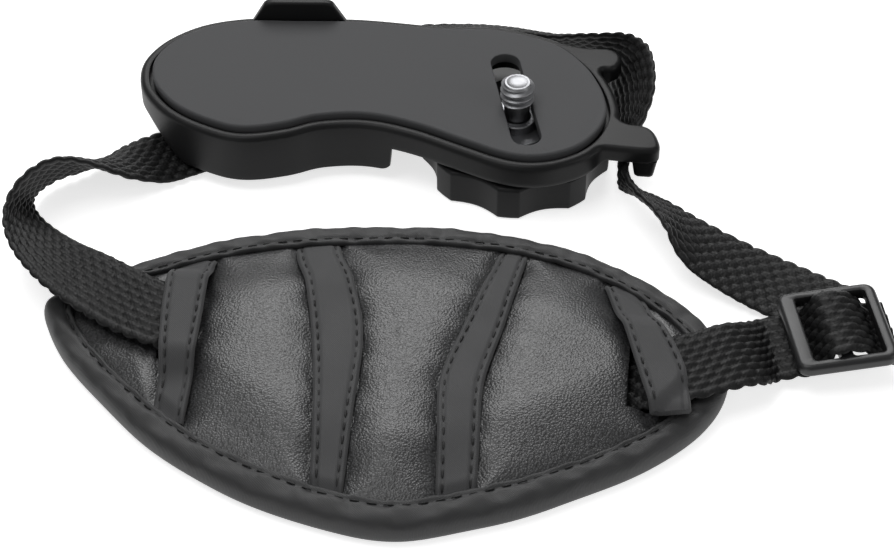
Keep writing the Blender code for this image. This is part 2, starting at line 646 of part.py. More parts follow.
def build_slide_washer():
    """The flanged bush that guides the neck along the slot."""
    bore = NECK_DIAMETER / 2 + CLEARANCE
    bush = BUSH_DIAMETER / 2
    bush_top = WASHER_TOP + BUSH_HEIGHT
    profile = [(bore, bush_top), (bush - 0.2, bush_top), (bush, bush_top - 0.2), (bush, WASHER_TOP),
               (FLANGE_RADIUS - 0.2, WASHER_TOP), (FLANGE_RADIUS, WASHER_TOP - 0.2),
               (FLANGE_RADIUS, WASHER_BOTTOM), (bore, WASHER_BOTTOM)]
    washer = turned("slide_washer", profile, 32, ring=True)
    washer.location = SCREW_PLACE * MM
    return finish(washer)


def edge_distance(x, y):
    """How far inside the pad's edge a point lies."""
    place = Vector((x, y, 0.0))
    nearest = math.inf
    for i, end in enumerate(PAD_OUTLINE):
        start = PAD_OUTLINE[i - 1]
        foot, share = intersect_point_line(place, start, end)
        foot = start.lerp(end, min(max(share, 0.0), 1.0))
        nearest = min(nearest, (place - foot).length)
    return nearest


def face_top(x, y):
    """The height of the leather face: flat at the binding, and domed inside it."""
    share = (edge_distance(x, y) - BINDING_WIDTH) / DOME_REACH
    share = min(max(share, 0.0), 1.0)
    return FACE_EDGE_TOP + DOME_RISE * share * share * (3 - 2 * share)


def pad_inset(distance):
    """The pad's edge drawn toward its middle by a distance."""
    middle = Vector((*PAD_MIDDLE, 0.0))
    return [point + (middle - point).normalized() * distance for point in PAD_OUTLINE]


def pad_rings(first_inset, height):
    """Rings from the pad's edge toward its middle, at a height worked out for each point."""
    middle = Vector((*PAD_MIDDLE, 0.0))
    edge = pad_inset(first_inset)
    inner = pad_inset(BINDING_WIDTH)
    rings = [edge] + [[middle.lerp(point, share) for point in inner]
                      for share in (1.0, 0.90, 0.79, 0.66, 0.50, 0.26)]
    return [[(point.x, point.y, height(point.x, point.y)) for point in ring] for ring in rings]


def build_pad_face():
    """The domed leather face, with the two slits that the webbing passes."""
    def middle_height(x, y):
        return face_top(x, y) - FACE_THICKNESS / 2

    rings = pad_rings(BINDING_WALL + CLEARANCE, middle_height)
    crown = (*PAD_MIDDLE, middle_height(*PAD_MIDDLE))
    face = loft("pad_face", rings, rings=True, crown=crown)
    thicken(face, FACE_THICKNESS)
    slit_length = WEBBING_WIDTH + 2 * SLIT_MARGIN
    height = FACE_EDGE_TOP + DOME_RISE
    for name, place in (("left_slit", LEFT_SLIT), ("right_slit", RIGHT_SLIT)):
        slit = box(name, (*place, height / 2), 0.0, (SLIT_WIDTH, slit_length, 2 * height))
        combine(face, slit, "DIFFERENCE")
    return finish(face)


def build_pad_foam():
    """The foam between face and lining, with the window that the webbing runs through."""
    def top_height(x, y):
        return face_top(x, y) - FACE_THICKNESS - CLEARANCE

    rings = pad_rings(BINDING_WALL + CLEARANCE, top_height)
    bottom = [(x, y, FOAM_BOTTOM) for x, y, height in rings[0]]
    foam = loft("pad_foam", [bottom] + rings, rings=True, floor=True,
                crown=(*PAD_MIDDLE, top_height(*PAD_MIDDLE)))
    left = LEFT_SLIT[0] - SLIT_WIDTH / 2 - 1.5
    right = RIGHT_SLIT[0] + SLIT_WIDTH / 2 + 1.5
    half_width = WEBBING_WIDTH / 2 + 2 * SLIT_MARGIN
    front = min(LEFT_SLIT[1], RIGHT_SLIT[1]) - half_width
    back = max(LEFT_SLIT[1], RIGHT_SLIT[1]) + half_width
    window = prism("foam_window", rectangle(left, right, front, back), FOAM_BOTTOM - 1.0,
                   FACE_EDGE_TOP + DOME_RISE)
    combine(foam, window, "DIFFERENCE")
    return finish(foam)


def build_pad_lining():
    """The flat lining under the pad."""
    outline = pad_inset(BINDING_WALL + CLEARANCE)
    return finish(prism("pad_lining", outline, LINING_BOTTOM, LINING_TOP))


def build_edge_binding():
    """The rounded binding that is folded round the pad's edge, as a ring of C section."""
    lip_bottom = BINDING_TOP - BINDING_LIP
    section = (
        (0.0, BINDING_TOP * 0.35), (0.0, BINDING_TOP * 0.65), (0.45, BINDING_TOP * 0.87),
        (1.5, BINDING_TOP), (BINDING_WIDTH - 0.5, BINDING_TOP), (BINDING_WIDTH, BINDING_TOP - 0.4),
        (BINDING_WIDTH, lip_bottom), (BINDING_WALL, lip_bottom), (BINDING_WALL, BINDING_LIP),
        (BINDING_WIDTH, BINDING_LIP), (BINDING_WIDTH, 0.0), (1.5, 0.0), (0.45, BINDING_TOP * 0.13),
    )
    rows = [[(point.x, point.y, height) for point in pad_inset(inward)]
            for inward, height in section]
    return finish(loft("edge_binding", rows, rings=True, wrap=True))


def band_rows(course, slit):
    """Rows across a band that lies on the face and bridges the webbing at its slit, if it has one."""
    path = smooth_path([(x, y, 0.0) for x, y, width in course], 3, False)
    widths = smooth_path([(float(i), width, 0.0) for i, (x, y, width) in enumerate(course)], 3, False)
    rows = []
    for i, place in enumerate(path):
        before = path[max(i - 1, 0)]
        after = path[min(i + 1, len(path) - 1)]
        along = (after - before).normalized()
        across = Vector((-along.y, along.x, 0.0)) * widths[i].y / 2
        lifted = loop_height(place.y, slit) if slit else 0.0
        row = []
        for share in (-1.0, -1 / 3, 1 / 3, 1.0):
            point = place + across * share
            on_face = face_top(point.x, point.y) + CLEARANCE
            row.append((point.x, point.y, max(on_face, lifted) + BAND_THICKNESS / 2))
        rows.append(row)
    return rows


def loop_height(y, slit):
    """The underside of a loop band at one Y: above the webbing at the slit, low away from it."""
    near = [middle.z for middle, across in webbing_stations()
            if abs(middle.x - slit[0]) < SLIT_WIDTH and abs(middle.y - slit[1]) < SLIT_WIDTH]
    top = max(near) + WEBBING_THICKNESS / 2 + 2 * CLEARANCE
    away = abs(y - slit[1]) - WEBBING_WIDTH / 2 - LOOP_MARGIN
    share = min(max(1.0 - away / LOOP_RISE, 0.0), 1.0)
    return FACE_EDGE_TOP + (top - FACE_EDGE_TOP) * share * share * (3 - 2 * share)


def build_bands():
    """The four bands across the pad, trimmed where the binding starts."""
    trim_outline = pad_inset(BINDING_WIDTH + CLEARANCE)
    trim = prism("band_trim", trim_outline, 0.0, BINDING_TOP * 3)
    bands = (
        ("loop_band_left", LOOP_BAND_LEFT, LEFT_SLIT),
        ("rib_band_left", RIB_BAND_LEFT, None),
        ("rib_band_right", RIB_BAND_RIGHT, None),
        ("loop_band_right", LOOP_BAND_RIGHT, RIGHT_SLIT),
    )
    for name, course, slit in bands:
        band = loft(name, band_rows(course, slit))
        thicken(band, BAND_THICKNESS)
        combine(band, trim, "INTERSECT")
        finish(band)


def slider_frame():
    """The slider's place and turn, in metres."""
    place = Matrix.Translation(Vector(SLIDER_PLACE) * MM)
    return place @ Matrix.Rotation(SLIDER_TURN, 4, "Z") @ Matrix.Rotation(SLIDER_PITCH, 4, "Y")


def rounded_rectangle(left, right, front, back, radius, steps=4):
    """A rectangle with round corners, anticlockwise."""
    corners = ((right - radius, back - radius, 0.0), (left + radius, back - radius, math.pi / 2),
               (left + radius, front + radius, math.pi), (right - radius, front + radius, -math.pi / 2))
    outline = []
    for x, y, start in corners:
        for i in range(steps + 1):
            angle = start + math.pi / 2 * i / steps
            outline.append(Vector((x + radius * math.cos(angle), y + radius * math.sin(angle), 0.0)))
    return outline


def build_slider():
    """The flat slider: a rounded frame with a bar across its middle."""
    half_length = SLIDER_LENGTH / 2
    half_width = SLIDER_WIDTH / 2
    half_thickness = SLIDER_THICKNESS / 2
    frame = rounded_rectangle(-half_length, half_length, -half_width, half_width, SLIDER_CORNER)
    slider = prism("slider_buckle", frame, -half_thickness, half_thickness, SLIDER_ROUND, SLIDER_ROUND)
    inside = half_width - SLIDER_SIDE_BAR
    half_bar = SLIDER_CENTRE_BAR / 2
    left = (-half_length + SLIDER_LEFT_BAR, -half_bar)
    right = (half_bar, half_length - SLIDER_RIGHT_BAR)
    for name, (start, end) in (("slider_window_left", left), ("slider_window_right", right)):
        outline = rounded_rectangle(start, end, -inside, inside, SLIDER_ROUND)
        window = prism(name, outline, -SLIDER_THICKNESS, SLIDER_THICKNESS)
        window.matrix_basis = slider_frame()
        combine(slider, window, "DIFFERENCE")
    slider.matrix_basis = slider_frame()
    return finish(slider)


def webbing_stations():
    """The middle of the webbing and its half width across, along the whole route."""
    stations = []
    for middle, across, share in ROUTE_TO_SLIDER:
        stations.append((Vector(middle), Vector(across).normalized() * share * WEBBING_WIDTH / 2))
    frame = slider_frame()
    across = frame.to_3x3() @ Vector((0.0, -1.0, 0.0)) * WEBBING_WIDTH / 2
    for along, above in ROUTE_IN_SLIDER:
        middle = frame @ (Vector((along, 0.0, above)) * MM) / MM
        stations.append((middle, across))
    return stations


def build_webbing():
    """The one length of webbing, from its sewn end to its tail past the slider."""
    stations = webbing_stations()
    middles = smooth_path([middle for middle, across in stations], ROUTE_STEPS, False)
    halves = smooth_path([across for middle, across in stations], ROUTE_STEPS, False)
    rows = [[middle + half * share for share in (-1.0, -1 / 3, 1 / 3, 1.0)]
            for middle, half in zip(middles, halves)]
    webbing = loft("webbing", rows)
    thicken(webbing, WEBBING_THICKNESS)
    return finish(webbing)


def move_to_bottom_centre():
    """Put the origin at the bottom centre of the whole strap."""
    bpy.context.view_layer.update()
    graph = bpy.context.evaluated_depsgraph_get()
    corners = []
    for thing in PARTS.objects:
        if thing.type != "MESH":
            continue
        seen = thing.evaluated_get(graph)
        corners += [seen.matrix_world @ vertex.co for vertex in seen.data.vertices]
    low = [min(corner[axis] for corner in corners) for axis in range(3)]
    high = [max(corner[axis] for corner in corners) for axis in range(3)]
    ORIGIN.location = (-(low[0] + high[0]) / 2, -(low[1] + high[1]) / 2, -low[2])


build_base_plate()
build_grip_pad()
build_camera_screw()
build_clamp_knob()
build_slide_washer()
build_pad_face()
build_pad_foam()
build_pad_lining()
build_edge_binding()
build_bands()
build_slider()
build_webbing()
move_to_bottom_centre()
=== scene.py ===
# %% [markdown]
# # Camera wrist strap
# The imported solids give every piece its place. This script dresses them: it loads them as a fixed
# frame, builds each piece again as a finer surface worked out with numpy, and gives each one a
# procedural finish. Lengths are written in millimetres in the drawing's own frame, whose origin lies
# midway between the plate's two lobes, and `in_frame` carries them to the model's frame in metres.

# %% Load the frame
import math

import bmesh
import bpy
import numpy as np
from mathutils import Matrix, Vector


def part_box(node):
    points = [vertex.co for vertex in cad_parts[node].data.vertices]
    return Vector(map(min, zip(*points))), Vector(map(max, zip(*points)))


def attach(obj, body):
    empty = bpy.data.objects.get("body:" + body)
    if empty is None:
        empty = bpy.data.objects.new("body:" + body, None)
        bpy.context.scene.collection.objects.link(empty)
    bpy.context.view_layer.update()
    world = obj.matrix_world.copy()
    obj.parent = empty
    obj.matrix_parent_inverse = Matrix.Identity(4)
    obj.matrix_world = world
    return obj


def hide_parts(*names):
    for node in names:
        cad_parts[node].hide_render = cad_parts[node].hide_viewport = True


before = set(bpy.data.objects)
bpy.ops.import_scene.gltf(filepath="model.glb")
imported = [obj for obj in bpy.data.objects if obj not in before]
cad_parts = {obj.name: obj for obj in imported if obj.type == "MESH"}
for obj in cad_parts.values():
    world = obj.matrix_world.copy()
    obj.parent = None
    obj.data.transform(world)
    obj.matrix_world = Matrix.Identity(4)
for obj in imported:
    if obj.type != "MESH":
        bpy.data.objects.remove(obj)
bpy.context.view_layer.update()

# %% [markdown]
# ## From the drawing to the frame
# The drawing's origin moved to the bottom centre of the strap when it was packed. The screw tells by
# how much: its axis is known in the drawing, and the frame says where its box is now.

# %% The drawing's frame
MM = 0.001
SCREW_AXIS = np.array([25.573, -2.203])
screw_low, screw_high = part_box("camera_screw")
screw_now = np.array([(screw_low.x + screw_high.x) / 2, (screw_low.y + screw_high.y) / 2]) / MM
SHIFT = np.array([*(screw_now - SCREW_AXIS), 0.0])
print("the drawing moved by", SHIFT.round(3), "mm")


def in_frame(points):
    """Points of the drawing, in millimetres, as points of the frame, in metres: (p + shift) / 1000."""
    return (np.asarray(points, float) + SHIFT) * MM


# %% [markdown]
# ## Surfaces from arrays
# Nearly every piece here is one of two things: a grid of points, which is a function of two
# parameters, or a section carried round an outline. Both end as rows of points, so one helper makes
# the faces of a grid, one fills the flat land between outlines, and one puts it all into a mesh.

# %% Outlines and rows
def unit(arrows):
    """Each row of an array of directions, divided by its length."""
    return arrows / np.linalg.norm(arrows, axis=1, keepdims=True)


def sampled(line, walked, places):
    """A line's points at given distances along it, each column interpolated by itself."""
    return np.stack([np.interp(places, walked, column) for column in line.T], axis=1)


def through(knots, steps, closed):
    """A smooth line through knots: on each span the cubic Bezier curve whose handles are a third of
    the span long and point along the line from the knot before to the knot after."""
    knots = np.asarray(knots, float)
    before, after = np.roll(knots, 1, axis=0), np.roll(knots, -1, axis=0)
    if not closed:
        before[0], after[-1] = knots[0], knots[-1]
    heading = unit(after - before)
    start = knots if closed else knots[:-1]
    end = np.roll(knots, -1, axis=0) if closed else knots[1:]
    out = heading if closed else heading[:-1]
    into = np.roll(heading, -1, axis=0) if closed else heading[1:]
    reach = np.linalg.norm(end - start, axis=1, keepdims=True) / 3
    t = (np.arange(steps) / steps)[None, :, None]
    handles = (start, start + out * reach, end - into * reach, end)
    weights = ((1 - t) ** 3, 3 * (1 - t) ** 2 * t, 3 * (1 - t) * t ** 2, t ** 3)
    line = sum(weight * handle[:, None, :] for weight, handle in zip(weights, handles))
    line = line.reshape(-1, knots.shape[1])
    return line if closed else np.vstack([line, knots[-1]])


def lengths_along(line):
    """The distance walked along a line to each of its points."""
    return np.concatenate([[0.0], np.cumsum(np.linalg.norm(np.diff(line, axis=0), axis=1))])


def even(line, spacing, closed=False):
    """The same line with points an equal distance apart, by interpolation on the distance walked."""
    whole = np.vstack([line, line[:1]]) if closed else line
    walked = lengths_along(whole)
    count = max(int(round(walked[-1] / spacing)), 3)
    places = np.linspace(0.0, walked[-1], count + 1)
    evened = sampled(whole, walked, places)
    return evened[:-1] if closed else evened


def inward(loop):
    """The unit direction into a closed anticlockwise loop: its tangent turned a quarter to the left."""
    tangent = unit(np.roll(loop, -1, axis=0) - np.roll(loop, 1, axis=0))
    return np.stack([-tangent[:, 1], tangent[:, 0]], axis=1)


def carried(loop, section):
    """A section carried round a loop: for each (inset, height) the loop moved inward by the inset
    and lifted to the height. A height may be one number or one for each point of the loop."""
    normal = inward(loop)
    rows = []
    for inset, height in section:
        flat = loop + normal * inset
        rows.append(np.column_stack([flat, np.broadcast_to(height, len(loop))]))
    return np.stack(rows)


def arc(centre_inset, centre_height, radius, start, end, steps=6):
    """Part of a circle in a section, from one angle to another in degrees, as (inset, height) pairs."""
    angles = np.radians(np.linspace(start, end, steps + 1))
    return [(centre_inset - radius * math.cos(a), centre_height + radius * math.sin(a))
            for a in angles]


def smooth_step(value, low, high):
    """Zero below low, one above high, and the cubic 3t^2 - 2t^3 between them."""
    t = np.clip((value - low) / (high - low), 0.0, 1.0)
    return t * t * (3 - 2 * t)


# %% Faces and meshes
def grid(rows, around=True, wrap=False):
    """(points, faces) of a grid of rows: four-cornered faces between each point and its neighbours.
    around closes every row on itself, and wrap joins the last row to the first."""
    count, width = rows.shape[:2]
    i = np.arange(count if wrap else count - 1)[:, None]
    j = np.arange(width if around else width - 1)[None, :]
    i_next, j_next = (i + 1) % count, (j + 1) % width
    corners = [i * width + j, i * width + j_next, i_next * width + j_next, i_next * width + j]
    faces = np.stack([np.broadcast_to(corner, (i.size, j.size)) for corner in corners], axis=-1)
    return rows.reshape(-1, 3), [faces.reshape(-1, 4)]


def land(*loops):
    """(points, faces) of the flat region between closed loops, the first round the others."""
    edges = []
    start = 0
    for loop in loops:
        ring = start + np.arange(len(loop))
        edges.append(np.column_stack([ring, np.roll(ring, -1)]))
        start += len(loop)
    points = np.vstack(loops)
    flat = points * (1.0, 1.0, 0.0)
    mesh = bpy.data.meshes.new("land")
    mesh.from_pydata(flat.tolist(), np.vstack(edges).tolist(), [])
    shape = bmesh.new()
    shape.from_mesh(mesh)
    bmesh.ops.triangle_fill(shape, use_beauty=True, edges=shape.edges, normal=(0.0, 0.0, 1.0))
    shape.to_mesh(mesh)
    shape.free()
    corners = np.empty(len(mesh.loops), int)
    mesh.loops.foreach_get("vertex_index", corners)
    bpy.data.meshes.remove(mesh)
    return points, [corners.reshape(-1, 3)]


def cap(row):
    """The end of a closed section, filled with a fan of triangles round its middle."""
    middle = row.mean(axis=0, keepdims=True)
    ring = np.arange(len(row))
    fan = np.stack([ring, np.roll(ring, -1), np.full(len(row), len(row))], axis=1)
    return np.vstack([row, middle]), [fan]


def joined(*surfaces):
    """Several surfaces as one, each one's face numbers moved past the points before it. A surface is
    its points and a list of arrays of faces, one array for each number of corners."""
    points, faces, start = [], [], 0
    for some_points, some_faces in surfaces:
        points.append(some_points)
        faces += [block + start for block in some_faces]
        start += len(some_points)
    return np.vstack(points), faces


# %% Pieces
WELD = 1e-7


def add_object(name, data):
    """A new object of the scene, at the origin, unturned and unscaled."""
    thing = bpy.data.objects.new(name, data)
    bpy.context.scene.collection.objects.link(thing)
    return thing


def welded_mesh(name, surface, layers=None):
    """A surface of the drawing as a mesh of the frame, its seams welded and its faces turned out.
    layers holds an attribute's name and its value at each point, set before the seams are welded."""
    points, faces = surface
    mesh = bpy.data.meshes.new(name)
    mesh.from_pydata(in_frame(points).tolist(), [], sum([block.tolist() for block in faces], []))
    for layer, values in (layers or {}).items():
        kind = "FLOAT" if np.ndim(values) == 1 else "FLOAT_VECTOR"
        attribute = mesh.attributes.new(layer, kind, "POINT")
        attribute.data.foreach_set("value" if kind == "FLOAT" else "vector", np.ravel(values))
    shape = bmesh.new()
    shape.from_mesh(mesh)
    bmesh.ops.remove_doubles(shape, verts=shape.verts, dist=WELD)
    bmesh.ops.recalc_face_normals(shape, faces=shape.faces)
    shape.to_mesh(mesh)
    shape.free()
    return mesh


def attribute_to_uv(mesh, layer):
    """Copy a point attribute into a UV map: each corner takes the value of its point."""
    values = np.empty(len(mesh.vertices) * 3)
    mesh.attributes[layer].data.foreach_get("vector", values)
    corners = np.empty(len(mesh.loops), int)
    mesh.loops.foreach_get("vertex_index", corners)
    uv = mesh.uv_layers.new(name="UVMap")
    uv.data.foreach_set("uv", values.reshape(-1, 3)[corners, :2].ravel())
    mesh.attributes.remove(mesh.attributes[layer])


def make_piece(name, surface, material, body, replaced=(), crease=38.0, layers=None,
               lands=False):
    """A finished piece: its mesh, material and shading, the body it rides on and what it replaces.
    lands keeps its flat parts flat where they meet a rounded edge."""
    mesh = welded_mesh(name, surface, layers)
    if "web_uv" in (layers or {}):
        attribute_to_uv(mesh, "web_uv")
    mesh.shade_smooth()
    mesh.set_sharp_from_angle(angle=math.radians(crease))
    mesh.materials.append(material)
    piece = add_object(name, mesh)
    if lands:
        weighted = piece.modifiers.new("flat lands", "WEIGHTED_NORMAL")
        weighted.keep_sharp = True
        weighted.weight = 100
    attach(piece, body)
    if replaced:
        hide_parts(*replaced)
    print(name, "has", len(mesh.polygons), "faces")
    return piece


# %% [markdown]
# ## Camera, light and floor
# The camera stands where the table's perspective in the photograph puts it, 42 degrees above the
# table, with a long lens. The strap is nearly black, so what shows its shape is the broad soft
# reflection of a panel behind it; smaller panels fill in from the sides. The table is white. It keeps
# the strap's shadow, and a little glow that only camera, glossy and transmitted rays see lifts it to
# white without putting more light on the strap. The glow fades round one given point behind the
# plate, a painted shadow: the slot lets one look through to the table there, and the photograph shows
# no white in it.

# %% Camera
camera_data = bpy.data.cameras.new("photo_camera")
camera_data.lens = 85.0
camera_data.sensor_width = 36.0
camera = add_object("photo_camera", camera_data)
CAMERA_PLACE = np.array([28.70, -282.39, 251.07]) * MM
CAMERA_TARGET = np.array([0.03, -5.03, 0.0]) * MM


def aim(thing, place, target):
    """Put a camera or a lamp at a place, with its view along the line to a target."""
    thing.location = Vector(place)
    thing.rotation_euler = (Vector(target) - Vector(place)).to_track_quat("-Z", "Y").to_euler()


aim(camera, CAMERA_PLACE, CAMERA_TARGET)
bpy.context.scene.camera = camera
bpy.context.scene.view_settings.view_transform = "Standard"


# %% Lamps
def add_panel(name, place, size, power):
    """A square soft lamp aimed at the origin, its place and size in metres and its power in watts."""
    lamp = bpy.data.lights.new(name, "AREA")
    lamp.size = size
    lamp.energy = power
    aim(add_object(name, lamp), place, (0.0, 0.0, 0.0))


add_panel("back_panel", (-0.10, 0.62, 0.62), 0.55, 4.2)
add_panel("top_panel", (-0.25, -0.10, 0.85), 0.50, 2.2)
add_panel("right_panel", (0.80, -0.25, 0.45), 0.35, 0.9)
add_panel("front_panel", (-0.35, -0.85, 0.30), 0.45, 0.5)


# %% Nodes
def new_node(tree, kind, values=(), links=(), **settings):
    """A shader node with its own settings, the values of its sockets and the sockets that feed it."""
    node = tree.nodes.new("ShaderNode" + kind)
    for name, value in settings.items():
        setattr(node, name, value)
    for label, value in dict(values).items():
        node.inputs[label].default_value = value
    for label, source in dict(links).items():
        tree.links.new(source, node.inputs[label])
    return node


def math_node(tree, operation, first, second=None):
    """One Math node; each value is a socket or a number."""
    node = new_node(tree, "Math", operation=operation)
    for place, value in zip(node.inputs, (first, second)):
        if isinstance(value, (int, float)):
            place.default_value = value
        elif value is not None:
            tree.links.new(value, place)
    return node.outputs[0]


# %% Floor and surroundings
def seen_directly(tree):
    """One where a ray comes from the camera, a mirror or glass, and zero on bounced light."""
    path = new_node(tree, "LightPath").outputs
    first = math_node(tree, "MAXIMUM", path["Is Camera Ray"], path["Is Glossy Ray"])
    return math_node(tree, "MAXIMUM", first, path["Is Transmission Ray"])


WORLD_LIGHT = 0.22
FLOOR_GLOW = 0.70
# NOOK is the middle of a painted shadow on the table: the glow is zero within the first fade radius and
# full beyond the second.
NOOK = (21.5, 25.0, 0.0)
NOOK_SHADOW_FADE = (3.0 * MM, 11.0 * MM)
world = bpy.data.worlds.new("studio")
bpy.context.scene.world = world
world.use_nodes = True
sky = world.node_tree
backdrop = sky.nodes["Background"]
backdrop.inputs["Color"].default_value = (1.0, 1.0, 1.0, 1.0)
world_level = new_node(sky, "MapRange", {"To Min": WORLD_LIGHT, "To Max": 1.0},
                       {"Value": new_node(sky, "LightPath").outputs["Is Camera Ray"]})
sky.links.new(world_level.outputs["Result"], backdrop.inputs["Strength"])

floor_material = bpy.data.materials.new("white_table")
floor_material.use_nodes = True
floor_tree = floor_material.node_tree
floor_shader = floor_tree.nodes["Principled BSDF"]
for label, value in {"Base Color": (0.86, 0.86, 0.86, 1.0), "Roughness": 0.8,
                     "Specular IOR Level": 0.1, "Emission Color": (1.0, 1.0, 1.0, 1.0)}.items():
    floor_shader.inputs[label].default_value = value
# Painted shadow: the table's glow fades out round NOOK, so the table shows dark there.
nook = new_node(floor_tree, "VectorMath", {1: tuple(in_frame(NOOK))},
                {0: new_node(floor_tree, "TexCoord").outputs["Object"]}, operation="DISTANCE")
nook_painted_shadow = new_node(floor_tree, "MapRange", {"From Min": NOOK_SHADOW_FADE[0], "From Max": NOOK_SHADOW_FADE[1]},
                      {"Value": nook.outputs["Value"]})
shaded_glow = math_node(floor_tree, "MULTIPLY", seen_directly(floor_tree),
                        nook_painted_shadow.outputs["Result"])
floor_tree.links.new(math_node(floor_tree, "MULTIPLY", shaded_glow, FLOOR_GLOW),
                     floor_shader.inputs["Emission Strength"])

FLOOR_REACH = 4.0
floor_mesh = bpy.data.meshes.new("table")
floor_corners = np.array([(-1, -1, 0), (1, -1, 0), (1, 1, 0), (-1, 1, 0)]) * FLOOR_REACH
floor_corners -= (0.0, 0.0, 1e-5)
floor_mesh.from_pydata(floor_corners.tolist(), [], [(0, 1, 2, 3)])
floor_mesh.materials.append(floor_material)
table_top = add_object("table", floor_mesh)

# %% [markdown]
# ## Finishes
# Three effects are shared, so each is a node group. `fine grain` is the cloudy tone and the tiny
# bumps that any moulded, rubber or metal surface has. `pebbles` is the cell pattern of grained
# leather. `threads` is the fine rib of a woven tape, along the
# object's axes, or along the webbing by its own UV map in metres.
# Every number that is the same all over a surface stays on the shader's own socket.

# %% Node group helpers
def new_group(name, inputs, outputs):
    """A shader group with named number inputs and outputs, and the nodes at its two ends."""
    group = bpy.data.node_groups.new(name, "ShaderNodeTree")
    for label, kind, value in inputs:
        socket = group.interface.new_socket(label, in_out="INPUT", socket_type=kind)
        if value is not None:
            socket.default_value = value
    for label, kind in outputs:
        group.interface.new_socket(label, in_out="OUTPUT", socket_type=kind)
    return group, group.nodes.new("NodeGroupInput"), group.nodes.new("NodeGroupOutput")


def noise_node(tree, vector, scale, detail):
    """The value of a Noise texture at a vector, with its scale as a socket or a number."""
    node = new_node(tree, "TexNoise", {"Detail": detail}, {"Vector": vector})
    if isinstance(scale, (int, float)):
        node.inputs["Scale"].default_value = scale
    else:
        tree.links.new(scale, node.inputs["Scale"])
    return node.outputs["Fac"]


# %% Shared effects
def build_fine_grain():
    """Tone is slow noise, 0 to 1; Height is fast noise, for a bump."""
    group, start, end = new_group("fine grain", [
        ("Vector", "NodeSocketVector", None), ("Grain Scale", "NodeSocketFloat", 3000.0),
        ("Cloud Scale", "NodeSocketFloat", 60.0)],
        [("Tone", "NodeSocketFloat"), ("Height", "NodeSocketFloat")])
    grain = noise_node(group, start.outputs["Vector"], start.outputs["Grain Scale"], 3.0)
    cloud = noise_node(group, start.outputs["Vector"], start.outputs["Cloud Scale"], 4.0)
    group.links.new(cloud, end.inputs["Tone"])
    group.links.new(grain, end.inputs["Height"])
    return group


def build_pebbles():
    """Height rises from the creases between cells, whose edges are pulled about by noise. The second
    output is one in the creases and zero on the cells' domes; the leather paints its colour dark there
    as shade and light on the domes as highlight.
    """
    group, start, end = new_group("pebbles", [
        ("Vector", "NodeSocketVector", None), ("Cell Scale", "NodeSocketFloat", 900.0)],
        [("Height", "NodeSocketFloat"), ("Crease Shade", "NodeSocketFloat")])
    vector = start.outputs["Vector"]
    warp = new_node(group, "TexNoise", {"Scale": 420.0}, {"Vector": vector})
    pull = new_node(group, "VectorMath", {1: (0.0005, 0.0005, 0.0005)},
                    {0: warp.outputs["Color"], 2: vector}, operation="MULTIPLY_ADD")
    cells = new_node(group, "TexVoronoi", {"Smoothness": 0.35},
                     {"Vector": pull.outputs[0], "Scale": start.outputs["Cell Scale"]},
                     feature="SMOOTH_F1")
    dome = math_node(group, "SUBTRACT", 1.0, cells.outputs["Distance"])
    fine = noise_node(group, start.outputs["Vector"], 5200.0, 2.0)
    height = math_node(group, "ADD", dome, math_node(group, "MULTIPLY", fine, 0.25))
    group.links.new(height, end.inputs["Height"])
    # Painted shade: this output is one in the creases between cells, where the leather's colour is
    # painted dark, and zero on the domes, which are painted light.
    crease = new_node(group, "MapRange", {"From Min": 0.35, "From Max": 0.75},
                      {"Value": cells.outputs["Distance"]})
    group.links.new(crease.outputs["Result"], end.inputs["Crease Shade"])
    return group


def build_threads():
    """Height is the product of two sine ribs across and along the cloth, softened by noise."""
    group, start, end = new_group("threads", [
        ("Vector", "NodeSocketVector", None), ("Along", "NodeSocketFloat", 9000.0),
        ("Across", "NodeSocketFloat", 9000.0)],
        [("Height", "NodeSocketFloat"), ("Tone", "NodeSocketFloat")])
    split = new_node(group, "SeparateXYZ", links={"Vector": start.outputs["Vector"]})
    waves = []
    for axis, scale in (("X", "Along"), ("Y", "Across")):
        turn = math_node(group, "MULTIPLY", split.outputs[axis], start.outputs[scale])
        waves.append(math_node(group, "SINE", turn))
    rib = math_node(group, "MULTIPLY", waves[0], waves[1])
    fuzz = noise_node(group, start.outputs["Vector"], 2600.0, 4.0)
    group.links.new(math_node(group, "ADD", math_node(group, "MULTIPLY", rib, 0.5), fuzz),
                    end.inputs["Height"])
    group.links.new(noise_node(group, start.outputs["Vector"], 180.0, 5.0), end.inputs["Tone"])
    return group


FINE_GRAIN = build_fine_grain()
PEBBLES = build_pebbles()
THREADS = build_threads()
print("shared effects:", [group.name for group in (FINE_GRAIN, PEBBLES, THREADS)])


